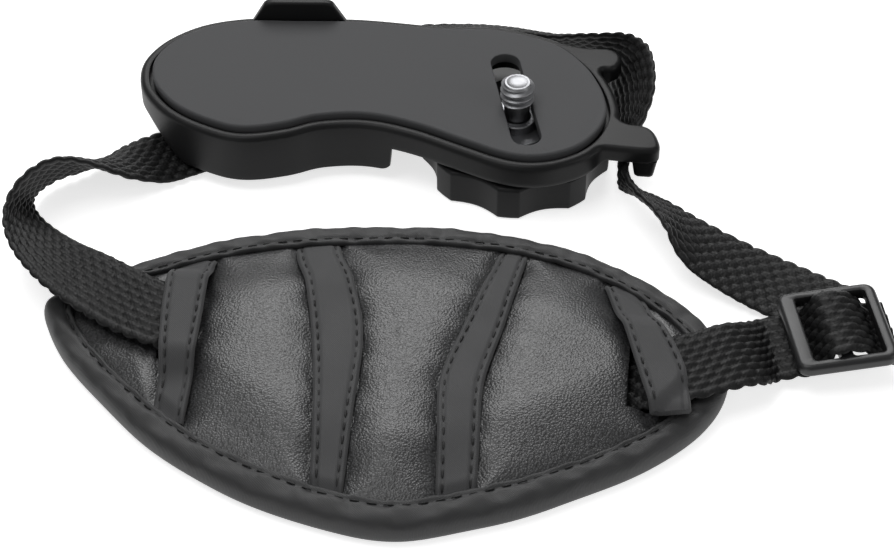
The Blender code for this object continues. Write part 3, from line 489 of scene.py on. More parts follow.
# %% Materials
def finish_from(name, group, settings, dark, light, roughness, bump, tone="Tone",
                coordinates="Object", metallic=0.0, sheen=0.0, specular=0.5, groove_shade_layer=None,
                rough_swing=0.08):
    """A material whose colour runs from dark to light by a group's tone, whose roughness swings
    with it, and whose surface is bumped by the group's height, in metres. A point attribute, if named,
    is zero deep between threads, where the colour is painted near black as shade in the grooves."""
    material = bpy.data.materials.new(name)
    material.use_nodes = True
    tree = material.node_tree
    shader = tree.nodes["Principled BSDF"]
    shader.inputs["Metallic"].default_value = metallic
    shader.inputs["Sheen Weight"].default_value = sheen
    shader.inputs["Specular IOR Level"].default_value = specular
    effect = new_node(tree, "Group", node_tree=group)
    tree.links.new(new_node(tree, "TexCoord").outputs[coordinates], effect.inputs["Vector"])
    for label, value in settings.items():
        effect.inputs[label].default_value = value
    mix = new_node(tree, "Mix", data_type="RGBA")
    mix.inputs["A"].default_value = (*dark, 1.0)
    mix.inputs["B"].default_value = (*light, 1.0)
    tree.links.new(effect.outputs[tone], mix.inputs["Factor"])
    colour = mix.outputs["Result"]
    # Painted shade: the colour goes to near black where the named attribute is zero, in the grooves.
    if groove_shade_layer:
        depth = new_node(tree, "Attribute", attribute_name=groove_shade_layer)
        shade = new_node(tree, "Mix", {"A": (0.002, 0.002, 0.002, 1.0)},
                         {"Factor": depth.outputs["Fac"], "B": colour}, data_type="RGBA")
        colour = shade.outputs["Result"]
    swing = new_node(tree, "MapRange", {"To Min": roughness - rough_swing,
                                        "To Max": roughness + rough_swing},
                     {"Value": effect.outputs[tone]})
    relief = new_node(tree, "Bump", {"Distance": bump, "Strength": 1.0},
                      {"Height": effect.outputs["Height"]})
    for label, source in {"Base Color": colour, "Roughness": swing.outputs["Result"],
                          "Normal": relief.outputs["Normal"]}.items():
        tree.links.new(source, shader.inputs[label])
    return material


def grey(value):
    """A very slightly cool grey of one level."""
    return (value, value * 1.01, value * 1.05)


plate_plastic = finish_from("satin_moulding", FINE_GRAIN, {"Grain Scale": 2600.0}, grey(0.008),
                            grey(0.014), 0.42, 0.00001, specular=0.2)
knob_plastic = finish_from("matte_moulding", FINE_GRAIN, {"Grain Scale": 2200.0}, grey(0.010),
                           grey(0.016), 0.46, 0.000012, specular=0.2)
slider_plastic = finish_from("satin_frame", FINE_GRAIN, {"Grain Scale": 2600.0}, grey(0.014),
                             grey(0.020), 0.38, 0.000008)
grip_rubber = finish_from("grip_rubber", FINE_GRAIN, {"Grain Scale": 3600.0, "Cloud Scale": 40.0},
                          grey(0.062), grey(0.074), 0.72, 0.00002, rough_swing=0.05, specular=0.35)
steel = finish_from("turned_steel", FINE_GRAIN, {"Grain Scale": 1500.0, "Cloud Scale": 500.0},
                    grey(0.28), grey(0.36), 0.40, 0.000006, metallic=1.0)
# Painted shade and highlight: the leather's colour runs from 0.040 on the pebbles' domes to 0.007 in
# their creases.
leather = finish_from("pebbled_leather", PEBBLES, {"Cell Scale": 2700.0}, grey(0.040), grey(0.007),
                      0.36, 0.00007, tone="Crease Shade", rough_swing=0.06, specular=0.6)
# The webbing's grooves get painted shade from its depth attribute.
web_yarn = finish_from("web_yarn", THREADS, {"Along": 9000.0, "Across": 7000.0}, grey(0.006),
                       grey(0.013), 0.50, 0.00003, coordinates="UV", groove_shade_layer="depth", specular=0.28)
band_tape = finish_from("band_tape", THREADS, {"Along": 16000.0, "Across": 16000.0}, grey(0.032),
                        grey(0.042), 0.66, 0.000025, sheen=0.12)
binding_tape = finish_from("binding_tape", THREADS, {"Along": 16000.0, "Across": 16000.0},
                           grey(0.017), grey(0.026), 0.56, 0.000025, sheen=0.10)
lining_cloth = finish_from("lining_cloth", THREADS, {"Along": 8000.0, "Across": 8000.0}, grey(0.020),
                           grey(0.034), 0.90, 0.00005, sheen=0.2)
thread = finish_from("stitch_thread", THREADS, {"Along": 20000.0, "Across": 12000.0}, grey(0.006),
                     grey(0.012), 0.6, 0.00002)

# %% [markdown]
# ## Base plate
# The real plate is one moulding: a rim with a soft outer edge, a deck sunk in it, two prongs at the
# right, a deep skirt round the front of the left lobe and a stop on its back. A moulding like that is
# a section carried round an outline, with flat lands between, so it needs no sculpting. The lower
# edge of the wall is a height at each point of the outline, which drops for the skirt and rises
# under the prongs, so the skirt grows out of the rim without a seam.

# %% Plate outlines
PLATE_EDGE = (
    (-38.2, -11.2), (-28.8, -15.9), (-22.9, -16.6), (-15.4, -14.4), (-9.9, -11.6), (-1.8, -10.4),
    (6.9, -12.3), (15.5, -15.9), (23.9, -19.2), (29.4, -19.7), (34.8, -18.2), (39.9, -14.5),
    (43.3, -9.0), (44.6, -3.0), (44.0, 1.9), (42.4, 6.8), (39.6, 12.2), (34.6, 17.9),
    (29.3, 20.9), (20.3, 23.1), (8.6, 22.6), (-3.2, 23.2), (-9.1, 23.2), (-19.0, 22.3),
    (-28.6, 21.4), (-36.9, 18.4), (-42.8, 13.2), (-45.9, 7.2), (-46.3, 1.9), (-44.3, -4.3),
)
FRONT_PRONG = ((42.4, -12.3), (46.0, -12.4), (50.6, -12.4), (52.2, -11.4), (51.9, -8.4), (50.6, -5.8),
               (48.8, -4.8), (46.2, -4.5))
BACK_PRONG = ((40.9, 11.6), (42.6, 11.8), (43.8, 12.9), (44.3, 15.2), (43.6, 17.3), (41.6, 18.4),
              (37.2, 18.3))
PRONG_REACH_X = 33.0
DECK_BOTTOM, DECK_TOP, RIM_TOP = 9.1, 11.0, 12.4
RIM_BOTTOM, SKIRT_BOTTOM = 7.6, 2.4
RIM_WALL = 1.8
OUTLINE_SPACING = 0.35


def with_prong(outline, prong):
    """The outline with its points beside a prong replaced by the prong's own edge."""
    prong = np.array(prong)
    beside = (outline[:, 0] > PRONG_REACH_X) & (outline[:, 1] > prong[:, 1].min())
    beside &= outline[:, 1] < prong[:, 1].max()
    start = np.argmax(beside)
    return np.vstack([outline[:start], prong, outline[start + beside.sum():]])


plain_outline = even(through(PLATE_EDGE, 12, True), OUTLINE_SPACING, True)
coarse_outline = through(PLATE_EDGE, 3, True)
pronged = with_prong(with_prong(coarse_outline, BACK_PRONG), FRONT_PRONG)
plate_outline = even(through(pronged, 8, True), OUTLINE_SPACING, True)
print("the plate's outline is", round(lengths_along(plate_outline)[-1], 1), "mm round")


def wall_bottom(x, y):
    """The height of the wall's lower edge: the rim's, lowered to the skirt's inside a corner of
    2.2 mm radius at its right end and a slope at its left end, and raised to the deck's in a prong."""
    corner, end = 2.2, 3.0
    across = np.clip(x - (end - corner), 0.0, corner)
    rounded = SKIRT_BOTTOM + corner - np.sqrt(corner ** 2 - across ** 2)
    slope = smooth_step(-x, 35.0, 44.5) * (RIM_BOTTOM - SKIRT_BOTTOM)
    skirt = np.where((x < end) & (y < -0.5), np.minimum(rounded + slope, RIM_BOTTOM), RIM_BOTTOM)
    back = smooth_step(y, -6.0, -0.5)
    low = skirt + (RIM_BOTTOM - skirt) * back
    prong = smooth_step(x, 40.5, 43.0)
    return low + (DECK_BOTTOM - low) * prong


# %% Plate
SLOT_MIDDLE = np.array([25.2, -0.75])
SLOT_TURN = math.radians(-75.6)
SLOT_HALF_TRAVEL = 11.3


def stadium(width, steps=20):
    """The slot's outline: two half circles joined by straight sides, anticlockwise."""
    along = np.array([math.cos(SLOT_TURN), math.sin(SLOT_TURN)])
    ends = []
    for side, start in ((1.0, SLOT_TURN - math.pi / 2), (-1.0, SLOT_TURN + math.pi / 2)):
        angles = start + np.linspace(0.0, math.pi, steps + 1)
        circle = np.stack([np.cos(angles), np.sin(angles)], axis=1) * width / 2
        ends.append(SLOT_MIDDLE + along * side * SLOT_HALF_TRAVEL + circle)
    return even(np.vstack(ends), 0.5, True)


def plate_surface():
    """The closed shell of the plate: its outer wall, top land, pocket, deck, slot and underside."""
    bottom = wall_bottom(*plate_outline.T)
    levels = np.linspace(0.0, 1.0, 7)[:, None]
    wall = [(0.0, bottom + 0.4 + (RIM_TOP - 1.0 - bottom - 0.4) * level) for level in levels[:-1]]
    outer = [(0.4, bottom), (0.12, bottom + 0.12)] + wall
    outer += arc(1.0, RIM_TOP - 1.0, 1.0, 0.0, 90.0)
    outside = carried(plate_outline, outer)
    pocket = [(RIM_WALL - 0.35, RIM_TOP), (RIM_WALL - 0.1, RIM_TOP - 0.1),
              (RIM_WALL, RIM_TOP - 0.35), (RIM_WALL, DECK_TOP + 0.4), (RIM_WALL, DECK_TOP)]
    inside = carried(plain_outline, pocket)
    slot = stadium(8.4)
    slot_wall = carried(slot, [(-0.2, DECK_TOP), (0.0, DECK_TOP - 0.2), (0.0, DECK_BOTTOM)])
    under = plain_outline + inward(plain_outline) * RIM_WALL
    foot = wall_bottom(*under.T)
    hollow = carried(plain_outline, [(RIM_WALL, foot), (RIM_WALL, foot + (DECK_BOTTOM - foot) * 0.5),
                                     (RIM_WALL, DECK_BOTTOM)])
    return joined(grid(outside), land(outside[-1], inside[0]), grid(inside),
                  land(inside[-1], slot_wall[0]), grid(slot_wall), land(hollow[-1], slot_wall[-1]),
                  grid(hollow), land(outside[0], hollow[0]))


# %% Slabs
def slab(outline, bottom, top, edge, holes=(), hole_edge=0.2, steps=5):
    """A closed flat solid of one outline, its edges rounded with quarter circles of radius edge, and
    with straight-walled holes whose edges are rounded with hole_edge."""
    section = arc(edge, bottom + edge, edge, -90.0, 0.0, steps)
    section += arc(edge, top - edge, edge, 0.0, 90.0, steps)
    shell = carried(outline, section)
    parts = [grid(shell)]
    tops, bottoms = [shell[-1]], [shell[0]]
    for hole in holes:
        section = [(-hole_edge, bottom), (-hole_edge * 0.3, bottom + hole_edge * 0.3),
                   (0.0, bottom + hole_edge), (0.0, top - hole_edge),
                   (-hole_edge * 0.3, top - hole_edge * 0.3), (-hole_edge, top)]
        wall = carried(hole, section)
        parts.append(grid(wall))
        tops.append(wall[-1])
        bottoms.append(wall[0])
    return joined(*parts, land(*tops), land(*bottoms))


def turned_points(surface, place, turn, pitch=0.0, stand=False):
    """A surface stood on its edge if asked, pitched about Y, turned about Z and moved to a place."""
    points, faces = surface
    if stand:
        points = points[:, [0, 2, 1]] * (1.0, -1.0, 1.0)
    c, s = math.cos(pitch), math.sin(pitch)
    points = points @ np.array([[c, 0.0, s], [0.0, 1.0, 0.0], [-s, 0.0, c]]).T
    c, s = math.cos(turn), math.sin(turn)
    points = points @ np.array([[c, -s, 0.0], [s, c, 0.0], [0.0, 0.0, 1.0]]).T
    return points + np.asarray(place, float), faces


def corner_rounded(corners, radius, steps=6):
    """A closed polygon with each corner replaced by a quadratic curve that starts and ends a radius
    away from it."""
    corners = np.asarray(corners, float)
    to_next = unit(np.roll(corners, -1, axis=0) - corners)
    to_last = unit(np.roll(corners, 1, axis=0) - corners)
    t = np.linspace(0.0, 1.0, steps + 1)[None, :, None]
    start, end = corners + to_last * radius, corners + to_next * radius
    curve = ((1 - t) ** 2 * start[:, None] + 2 * (1 - t) * t * corners[:, None]
             + t ** 2 * end[:, None])
    return curve.reshape(-1, 2)


# %% Stop, bar, skirt end and hook
STOP_X = -18.9


def stop_surface():
    """The stop: a trapezoid slab stood on the rim's back edge."""
    side = corner_rounded([(-9.5, 0.0), (9.5, 0.0), (6.6, 4.9), (5.2, 5.3), (-5.2, 5.3),
                           (-6.6, 4.9)], 0.6)
    nearest = np.argmin(np.abs(plain_outline[:, 0] - STOP_X) - plain_outline[:, 1])
    back_y = plain_outline[nearest, 1]
    return turned_points(slab(side, 0.0, 1.8, 0.5), (STOP_X, back_y - 0.1, RIM_TOP - 0.7),
                         math.radians(5.2), stand=True)


def bar_surface():
    """The bar under the left lobe and its post, as one L-shaped slab stood on its edge."""
    side = [(-16.0, 0.0), (16.0, 0.0), (16.0, 1.2), (-13.6, 1.2), (-13.6, 7.0), (-16.0, 7.0)]
    return turned_points(slab(corner_rounded(side, 0.3), -1.5, 1.5, 0.3), (-13.3, 2.75, 2.55),
                         math.radians(-49.0), stand=True)


def skirt_end_surface():
    """The short wall that closes the skirt's right end behind its face."""
    side = corner_rounded([(-1.7, -8.9), (0.1, -8.9), (0.1, -2.6), (-1.7, -2.6)], 0.3)
    points, faces = slab(side, 4.7, 9.2, 0.3)
    return points + (2.7, 0.0, 0.0), faces


def hook_surface():
    """The hook: a rounded rectangle that narrows downward, from the prong's underside to its tip."""
    corners = np.array([(-2.3, -2.1), (2.2, -2.1), (2.2, 2.1), (-2.3, 2.1)])
    loop = even(corner_rounded(corners, 0.8), 0.3, True)
    heights = np.array([5.7, 5.75, 6.0, 6.5, 7.5, 8.5, 9.3])
    widths = np.array([0.30, 0.62, 0.76, 0.82, 0.90, 0.97, 1.04])
    rows = [np.column_stack([loop * width + (49.75, -10.2 - (1.0 - width) * 1.2),
                             np.full(len(loop), height)]) for height, width in zip(heights, widths)]
    rows = np.stack(rows)
    return joined(grid(rows), land(rows[0]), land(rows[-1]))


make_piece("plate_shell",
           joined(plate_surface(), stop_surface(), bar_surface(), skirt_end_surface(), hook_surface()),
           plate_plastic, "strap", ["base_plate"], lands=True)

# %% [markdown]
# ## Rubber grip
# A sheet of soft rubber lies in the rim, with a narrow groove round it and a slot for the screw. It
# is a slab of the plate's own outline moved inward.

# %% Grip sheet
grip_outline = plain_outline + inward(plain_outline) * 2.4
make_piece("grip_sheet", slab(grip_outline, 11.3, 13.4, 0.55, [stadium(5.4)], 0.35),
           grip_rubber, "strap", ["grip_pad"], lands=True)

# %% [markdown]
# ## Camera screw, knob and bush
# A real thread is one ridge that climbs as it turns. A surface of angle and height makes it exactly:
# the radius is a wave of the height less the pitch times the share of a turn. The knob is a slab
# whose outline is a circle with eight shallow scallops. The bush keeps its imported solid.

# %% Screw
THREAD_PITCH = 1.27
THREAD_LOW, TIP = 13.9, 18.31
NECK_FOOT, NECK_RADIUS, RIDGE_HEIGHT = 6.6, 2.40, 0.755


def screw_surface(around=96, rows=220):
    """Radius = neck, plus the thread's ridge, whose phase is height / pitch - turn, faded in over
    0.4 mm at its foot and out over 0.5 mm at its top, and closed with a bevelled tip."""
    heights = np.linspace(NECK_FOOT, TIP - 0.25, rows)[:, None]
    turn = np.arange(around)[None, :] / around
    phase = (heights / THREAD_PITCH - turn) % 1.0
    ridge = np.clip(1.08 - np.abs(phase - 0.5) * 2.5, 0.0, 0.90) / 0.90
    present = smooth_step(heights, THREAD_LOW, THREAD_LOW + 0.4)
    present = present * (1 - smooth_step(heights, 17.5, 18.0))
    core = NECK_RADIUS + 0.12 * smooth_step(heights, 17.3, 17.9)
    radius = core + ridge * present * RIDGE_HEIGHT
    angle = 2 * math.pi * turn
    side = np.dstack([radius * np.cos(angle), radius * np.sin(angle),
                      np.broadcast_to(heights, radius.shape)])
    ring = np.stack([np.cos(angle[0]), np.sin(angle[0])], axis=1)
    tip = [np.column_stack([ring * r, np.full(around, h)])
           for r, h in ((2.44, TIP - 0.08), (2.32, TIP - 0.01), (2.2, TIP), (1.9, TIP),
                        (1.86, TIP - 0.03), (0.6, TIP - 0.03))]
    rows_all = np.concatenate([side, np.stack(tip)])
    return joined(grid(rows_all), land(rows_all[-1]), land(rows_all[0]))


def placed_at_screw(surface):
    """A surface made about Z, moved to the screw's axis."""
    points, faces = surface
    return points + (*SCREW_AXIS, 0.0), faces


hexagon = np.stack([np.cos(np.arange(6) * math.pi / 3), np.sin(np.arange(6) * math.pi / 3)], axis=1)
head = slab(corner_rounded(hexagon * 6.4, 0.4), 3.25, 6.85, 0.3)
make_piece("threaded_screw", placed_at_screw(joined(screw_surface(), head)), steel, "screw",
           ["camera_screw"], crease=50.0, lands=True)

# %% Knob
KNOB_LOBES, KNOB_RADIUS, SCALLOP_DEPTH, KNOB_HEIGHT = 8, 17.6, 1.7, 7.0


def knob_loop(count=560):
    """Radius = the knob's less the scallop's depth times a dip, which is one minus twice the square
    of the distance from the scallop's middle, cut off at zero where the lobe begins, so that each
    lobe meets it in a crisp line."""
    angle = 2 * math.pi * np.arange(count) / count
    from_middle = np.abs(((angle + math.pi / 2) * KNOB_LOBES / (2 * math.pi) + 0.5) % 1.0 - 0.5) * 2
    dip = np.clip(1.0 - (1.0 - from_middle) ** 2 * 2.0, 0.0, 1.0)
    radius = KNOB_RADIUS - SCALLOP_DEPTH * dip
    return np.stack([radius * np.cos(angle), radius * np.sin(angle)], axis=1)


make_piece("lobed_knob", placed_at_screw(slab(knob_loop(), 0.0, KNOB_HEIGHT, 0.7)), knob_plastic,
           "screw", ["clamp_knob"], crease=28.0, lands=True)

# %% Bush
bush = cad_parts["slide_washer"]
for place in bush.material_slots:
    place.material = steel
print("bush keeps its solid, with turned steel")

# %% [markdown]
# ## Webbing
# One length of ribbed webbing runs from its sewn end over the prongs and the bar, round the left
# loop, through the pad and into the slider. A bump alone would leave its edge a clean line, while the
# real edge is knobbly, so the weave is real relief: rows of grains, each row half a grain on from its
# neighbour. The webbing is a closed section carried along the route, and the grains are a function
# of the distance along it and the place across it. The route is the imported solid's, except behind
# the plate and at the prongs: there it is up to 0.9 mm lower, tilts more, and lies up to 1.1 mm
# further back, so that the knob clears it.

# %% Route
WEB_WIDTH, WEB_HALF_THICKNESS = 14.8, 0.62
ROUTE_TO_SLIDER = (
    (84.0, -40.0, 1.15, -0.55, -0.83, 0.0, 1.0), (73.4, -34.4, 1.35, -0.50, -0.86, 0.03, 1.0),
    (66.4, -31.0, 2.3, -0.41, -0.91, 0.09, 1.0), (60.7, -28.2, 3.6, -0.26, -0.96, 0.12, 1.0),
    (57.6, -26.0, 4.8, -0.23, -0.94, 0.25, 1.0), (55.2, -23.2, 5.8, -0.12, -0.91, 0.41, 1.0),
    (52.2, -19.7, 6.0, -0.07, -0.85, 0.52, 0.82), (48.8, -16.4, 5.6, -0.05, -0.75, 0.65, 0.60),
    (46.3, -12.6, 4.9, 0.05, -0.40, 0.90, 0.50), (46.0, -8.5, 4.8, 0.10, -0.10, 0.98, 0.49),
    (46.2, -4.4, 4.9, 0.20, -0.05, 0.97, 0.49), (47.0, -0.6, 5.9, 0.40, 0.0, 0.90, 0.70),
    (47.2, 4.0, 7.2, 0.50, 0.0, 0.86, 0.95), (47.0, 9.5, 7.9, 0.46, 0.08, 0.86, 1.0),
    (45.8, 15.8, 8.1, 0.40, 0.10, 0.88, 1.0), (43.2, 21.4, 7.8, 0.22, -0.18, 0.92, 1.0),
    (38.0, 26.0, 6.8, 0.0, -0.56, 0.80, 1.0), (31.0, 29.6, 5.6, 0.0, -0.78, 0.62, 1.0),
    (22.0, 31.9, 5.2, 0.0, -0.83, 0.56, 1.0), (12.0, 31.7, 4.9, 0.15, -0.84, 0.50, 1.0),
    (5.0, 28.5, 4.5, 0.48, -0.84, 0.24, 1.0), (-1.4, 21.8, 4.2, 0.75, -0.66, 0.0, 1.0),
    (-8.4, 13.6, 4.5, 0.75, -0.66, 0.0, 1.0), (-16.0, 6.2, 4.8, 0.66, -0.75, 0.0, 1.0),
    (-24.0, 0.4, 3.2, 0.57, -0.82, 0.0, 1.0), (-31.5, -4.2, 1.5, 0.53, -0.85, 0.0, 1.0),
    (-37.5, -7.9, 1.2, 0.52, -0.85, 0.0, 1.0), (-42.2, -11.4, 1.45, 0.52, -0.85, 0.02, 1.0),
    (-46.6, -15.0, 3.3, 0.34, -0.84, 0.26, 1.0), (-50.4, -18.0, 5.4, 0.16, -0.74, 0.55, 1.0),
    (-54.2, -20.4, 6.7, 0.10, -0.64, 0.73, 1.0), (-57.6, -22.7, 7.2, 0.10, -0.60, 0.77, 1.0),
    (-60.1, -25.8, 7.2, 0.06, -0.63, 0.76, 1.0), (-61.4, -29.2, 7.1, 0.0, -0.71, 0.69, 1.0),
    (-61.5, -33.0, 7.0, -0.06, -0.79, 0.59, 1.0), (-60.2, -37.0, 6.9, -0.12, -0.85, 0.49, 1.0),
    (-57.0, -41.6, 6.8, -0.17, -0.90, 0.37, 1.0), (-51.6, -46.6, 7.0, -0.20, -0.94, 0.24, 1.0),
    (-45.0, -51.2, 7.2, -0.20, -0.97, 0.09, 1.0), (-37.6, -55.6, 7.1, -0.14, -0.99, 0.0, 1.0),
    (-31.8, -58.4, 7.2, -0.08, -1.0, 0.0, 1.0), (-29.2, -59.1, 6.8, -0.05, -1.0, 0.0, 1.0),
    (-27.6, -59.3, 5.4, -0.05, -1.0, 0.0, 1.0), (-26.2, -59.4, 3.9, -0.05, -1.0, 0.0, 1.0),
    (-24.4, -59.5, 3.05, -0.05, -1.0, 0.0, 1.0), (-18.0, -59.8, 2.9, -0.05, -1.0, 0.0, 1.0),
    (12.0, -61.4, 2.9, -0.05, -1.0, 0.0, 1.0), (45.5, -63.1, 2.85, -0.03, -1.0, 0.0, 1.0),
    (49.0, -63.1, 2.95, 0.0, -1.0, 0.0, 1.0), (51.8, -63.0, 4.5, 0.0, -1.0, 0.0, 1.0),
    (54.0, -62.9, 6.2, 0.05, -1.0, 0.0, 1.0), (56.6, -62.6, 6.7, 0.10, -0.99, 0.0, 1.0),
    (60.3, -61.4, 6.7, 0.18, -0.98, 0.0, 1.0), (63.8, -59.6, 6.7, 0.25, -0.97, 0.0, 1.0),
    (66.9, -57.8, 6.4, 0.27, -0.96, 0.0, 1.0), (69.6, -56.0, 5.3, 0.26, -0.97, 0.0, 1.0),
)
ROUTE_IN_SLIDER = ((-11.6, -2.6), (-8.4, -2.3), (-5.0, -2.2), (-3.1, 0.0), (-1.9, 1.55),
                   (0.0, 1.95), (2.4, 1.5), (4.4, 0.1), (5.9, -2.0), (7.6, -2.5), (9.6, -2.6))
SLIDER_PLACE = (83.6, -49.6, 6.0)
SLIDER_TURN, SLIDER_PITCH = math.radians(12.0), math.radians(-5.0)


def slider_points(points):
    """Points of the slider's own frame, pitched, turned and moved to its place."""
    surface = (np.asarray(points, float), [])
    return turned_points(surface, SLIDER_PLACE, SLIDER_TURN, SLIDER_PITCH)[0]


def route_stations():
    """The webbing's middle and half-width arrow at each station of the route, in six columns."""
    route = np.array(ROUTE_TO_SLIDER)
    first = np.hstack([route[:, :3], unit(route[:, 3:6]) * route[:, 6:] * WEB_WIDTH / 2])
    inside = np.array(ROUTE_IN_SLIDER)
    middle = slider_points(np.column_stack([inside[:, 0], np.zeros(len(inside)), inside[:, 1]]))
    arrow = slider_points([(0.0, -WEB_WIDTH / 2, 0.0)]) - slider_points([(0.0, 0.0, 0.0)])
    return np.vstack([first, np.hstack([middle, np.repeat(arrow, len(middle), axis=0)])])


def web_route(spacing):
    """Middles and half-width arrows at equal steps: both smoothed over the same spans of the route."""
    stations = route_stations()
    steps = 12
    middles = through(stations[:, :3], steps, False)
    knots = np.arange(len(stations)) * steps
    spans = np.arange(len(middles))
    arrows = sampled(stations[:, 3:], knots, spans)
    kernel = np.hanning(steps + 3)[1:-1]
    kernel /= kernel.sum()
    padded = np.pad(arrows, ((steps // 2, steps // 2), (0, 0)), mode="edge")
    arrows = np.stack([np.convolve(column, kernel, mode="same") for column in padded.T],
                      axis=1)[steps // 2:-(steps // 2)]
    walked = lengths_along(middles)
    places = np.linspace(0.0, walked[-1], int(walked[-1] / spacing) + 1)
    return places, sampled(middles, walked, places), sampled(arrows, walked, places)


# %% Webbing
WEB_ROWS = 9
GRAIN_LENGTH = 2.7
CAP_DEPTH = 0.5
web_places, web_line, web_half = web_route(0.42)
print("the webbing is", round(web_places[-1], 1), "mm long")


def webbing_surface():
    """Section: (0.32 + 0.58 relief) mm times (1 - |v|^6)^(1/2) on each side of the middle, v from -1
    to 1. Relief: in each row across, |sin| of the distance along over a grain's length, moved on half a
    grain in every other row, times |sin| across the row, each to a power below one so that grains
    are plump and the gaps between them narrow."""
    steps, half_width = WEB_ROWS * 4, WEB_WIDTH / 2
    t = np.linspace(-1.0, 1.0, steps + 1)
    v = np.concatenate([t, t[::-1][1:-1]])
    side = np.concatenate([np.ones(steps + 1), -np.ones(steps - 1)])
    normal = unit(np.cross(unit(np.gradient(web_line, axis=0)), web_half))
    row = np.clip(np.floor((v + 1) / 2 * WEB_ROWS), 0, WEB_ROWS - 1)
    across = np.abs(np.sin(math.pi * (v + 1) / 2 * WEB_ROWS)) ** 0.5
    across = np.where(np.abs(v) > 0.999, 0.75, across)
    shift = row * 0.5 + (side < 0) * 0.5
    along = np.abs(np.sin(math.pi * (web_places[:, None] / GRAIN_LENGTH + shift[None, :]))) ** 0.45
    relief = along * across[None, :]
    crown = np.sqrt(np.clip(1.0 - np.abs(v) ** 6, 0.0, 1.0)) * side
    lift = crown[None, :] * (WEB_HALF_THICKNESS - 0.30 + 0.58 * relief)
    edge = np.abs(v)[None, :] ** 8 * (along - 0.5) * 0.8
    wave = 0.18 * np.sin(web_places / 5.3) + 0.12 * np.sin(web_places / 2.9 + 1.0)
    reach = (v[None, :] * (1.0 + edge / half_width) + (wave / half_width * 0.5)[:, None])
    rows = (web_line[:, None] + web_half[:, None] * reach[..., None]
            + normal[:, None] * lift[..., None])
    surface = joined(grid(rows), cap(rows[0]), cap(rows[-1]))
    uv = np.broadcast_arrays(web_places[:, None] * MM, (v * half_width * MM)[None, :], 0.0)
    uv = np.stack(uv, axis=-1).reshape(-1, 3)
    extra = len(surface[0]) - len(uv)
    # Painted shade: depth is zero in the gaps between grains and one on their crowns, and the material
    # paints the colour near black where it is zero; the end caps get CAP_DEPTH.
    depth = smooth_step(relief, 0.2, 0.95).ravel()
    return surface, {"depth": np.pad(depth, (0, extra), constant_values=CAP_DEPTH),
                     "web_uv": np.pad(uv, ((0, extra), (0, 0)))}


web_surface, web_layers = webbing_surface()
make_piece("ribbed_webbing", web_surface, web_yarn, "strap", ["webbing"],
           crease=180.0, layers=web_layers)

# %% Slider
def slider_surface():
    """A rounded frame with two windows; its bars are crowned by a wide edge radius."""
    frame_loop = corner_rounded([(-8.5, -9.4), (8.5, -9.4), (8.5, 9.4), (-8.5, 9.4)], 2.4, 12)
    windows = [corner_rounded([(a, -7.6), (b, -7.6), (b, 7.6), (a, 7.6)], 0.7)
               for a, b in ((-5.6, -1.1), (1.1, 6.5))]
    points, faces = slab(frame_loop, -1.2, 1.2, 0.95, windows, 0.45, 8)
    return slider_points(points), faces


make_piece("slider_frame", slider_surface(), slider_plastic, "strap",
           ["slider_buckle"], lands=True)

# %% [markdown]
# ## Hand pad
# The pad is a bean of soft leather over foam. Four sewn bands and the binding hold the leather down,
# and it swells between them. Its surface is a function of the place in plan: a dome, plus a swelling
# that is zero at a seam and full a few millimetres from it, plus shallow puckers that run away from
# the seams. Points are laid on rings between the pad's edge and its middle.

# %% Pad outline and seams
PAD_EDGE = (
    (-51.7, -54.3), (-50.6, -59.0), (-44.7, -67.8), (-33.5, -79.5), (-22.6, -88.2), (-10.9, -94.3),
    (2.6, -98.8), (15.3, -99.9), (27.4, -96.0), (39.6, -90.0), (53.5, -80.6), (62.2, -71.4),
    (65.7, -60.6), (63.4, -51.3), (55.8, -42.4), (45.0, -35.0), (32.0, -30.2), (17.0, -28.3),
    (3.2, -29.0), (-12.6, -31.7), (-25.4, -36.3), (-37.5, -43.0), (-47.6, -50.0),
)
PAD_MIDDLE = np.array([6.0, -64.0])
BINDING_WIDTH = 5.2
PAD_BOTTOM, FACE_EDGE_TOP, DOME_RISE, DOME_REACH = 2.1, 4.4, 1.9, 14.0
LEFT_SLIT, RIGHT_SLIT = (-27.2, -59.4), (51.4, -63.0)
pad_outline = even(through(PAD_EDGE, 12, True), 0.6, True)
pad_coarse = even(pad_outline, 2.0, True)
COURSES = {
    "loop_left": ((-27.7, -38.0, 7.4), (-27.5, -46.0, 7.3), (-27.1, -52.0, 7.2), (-26.5, -59.0, 7.0),
                  (-25.8, -66.0, 6.4), (-25.2, -72.0, 5.8), (-25.1, -80.0, 5.9), (-25.2, -88.0, 6.0)),
    "rib_left": ((-8.2, -28.0, 8.0), (-6.2, -39.0, 8.0), (-3.5, -46.0, 8.3), (0.0, -60.0, 8.7),
                 (1.8, -78.0, 6.6), (3.4, -101.0, 4.8)),
    "rib_right": ((28.6, -27.0, 5.0), (27.2, -39.0, 5.4), (24.6, -54.0, 6.6), (21.9, -69.0, 7.4),
                  (22.6, -82.0, 6.8), (23.7, -100.0, 6.2)),
    "loop_right": ((46.4, -38.0, 6.4), (48.6, -46.0, 6.4), (50.6, -52.5, 6.7), (52.8, -59.0, 7.5),
                   (54.6, -65.0, 7.8), (55.8, -71.0, 7.0), (56.8, -78.0, 6.2)),
}


def edge_distance(x, y):
    """How far inside the pad's edge each place is: the least distance to the outline's segments."""
    start, end = pad_coarse, np.roll(pad_coarse, -1, axis=0)
    span = end - start
    square = (span ** 2).sum(axis=1)
    place = np.stack([np.ravel(x), np.ravel(y)], axis=1)[:, None, :]
    share = np.clip(((place - start) * span).sum(axis=2) / square, 0.0, 1.0)
    foot = start + span * share[..., None]
    return np.sqrt(((place - foot) ** 2).sum(axis=2)).min(axis=1).reshape(np.shape(x))


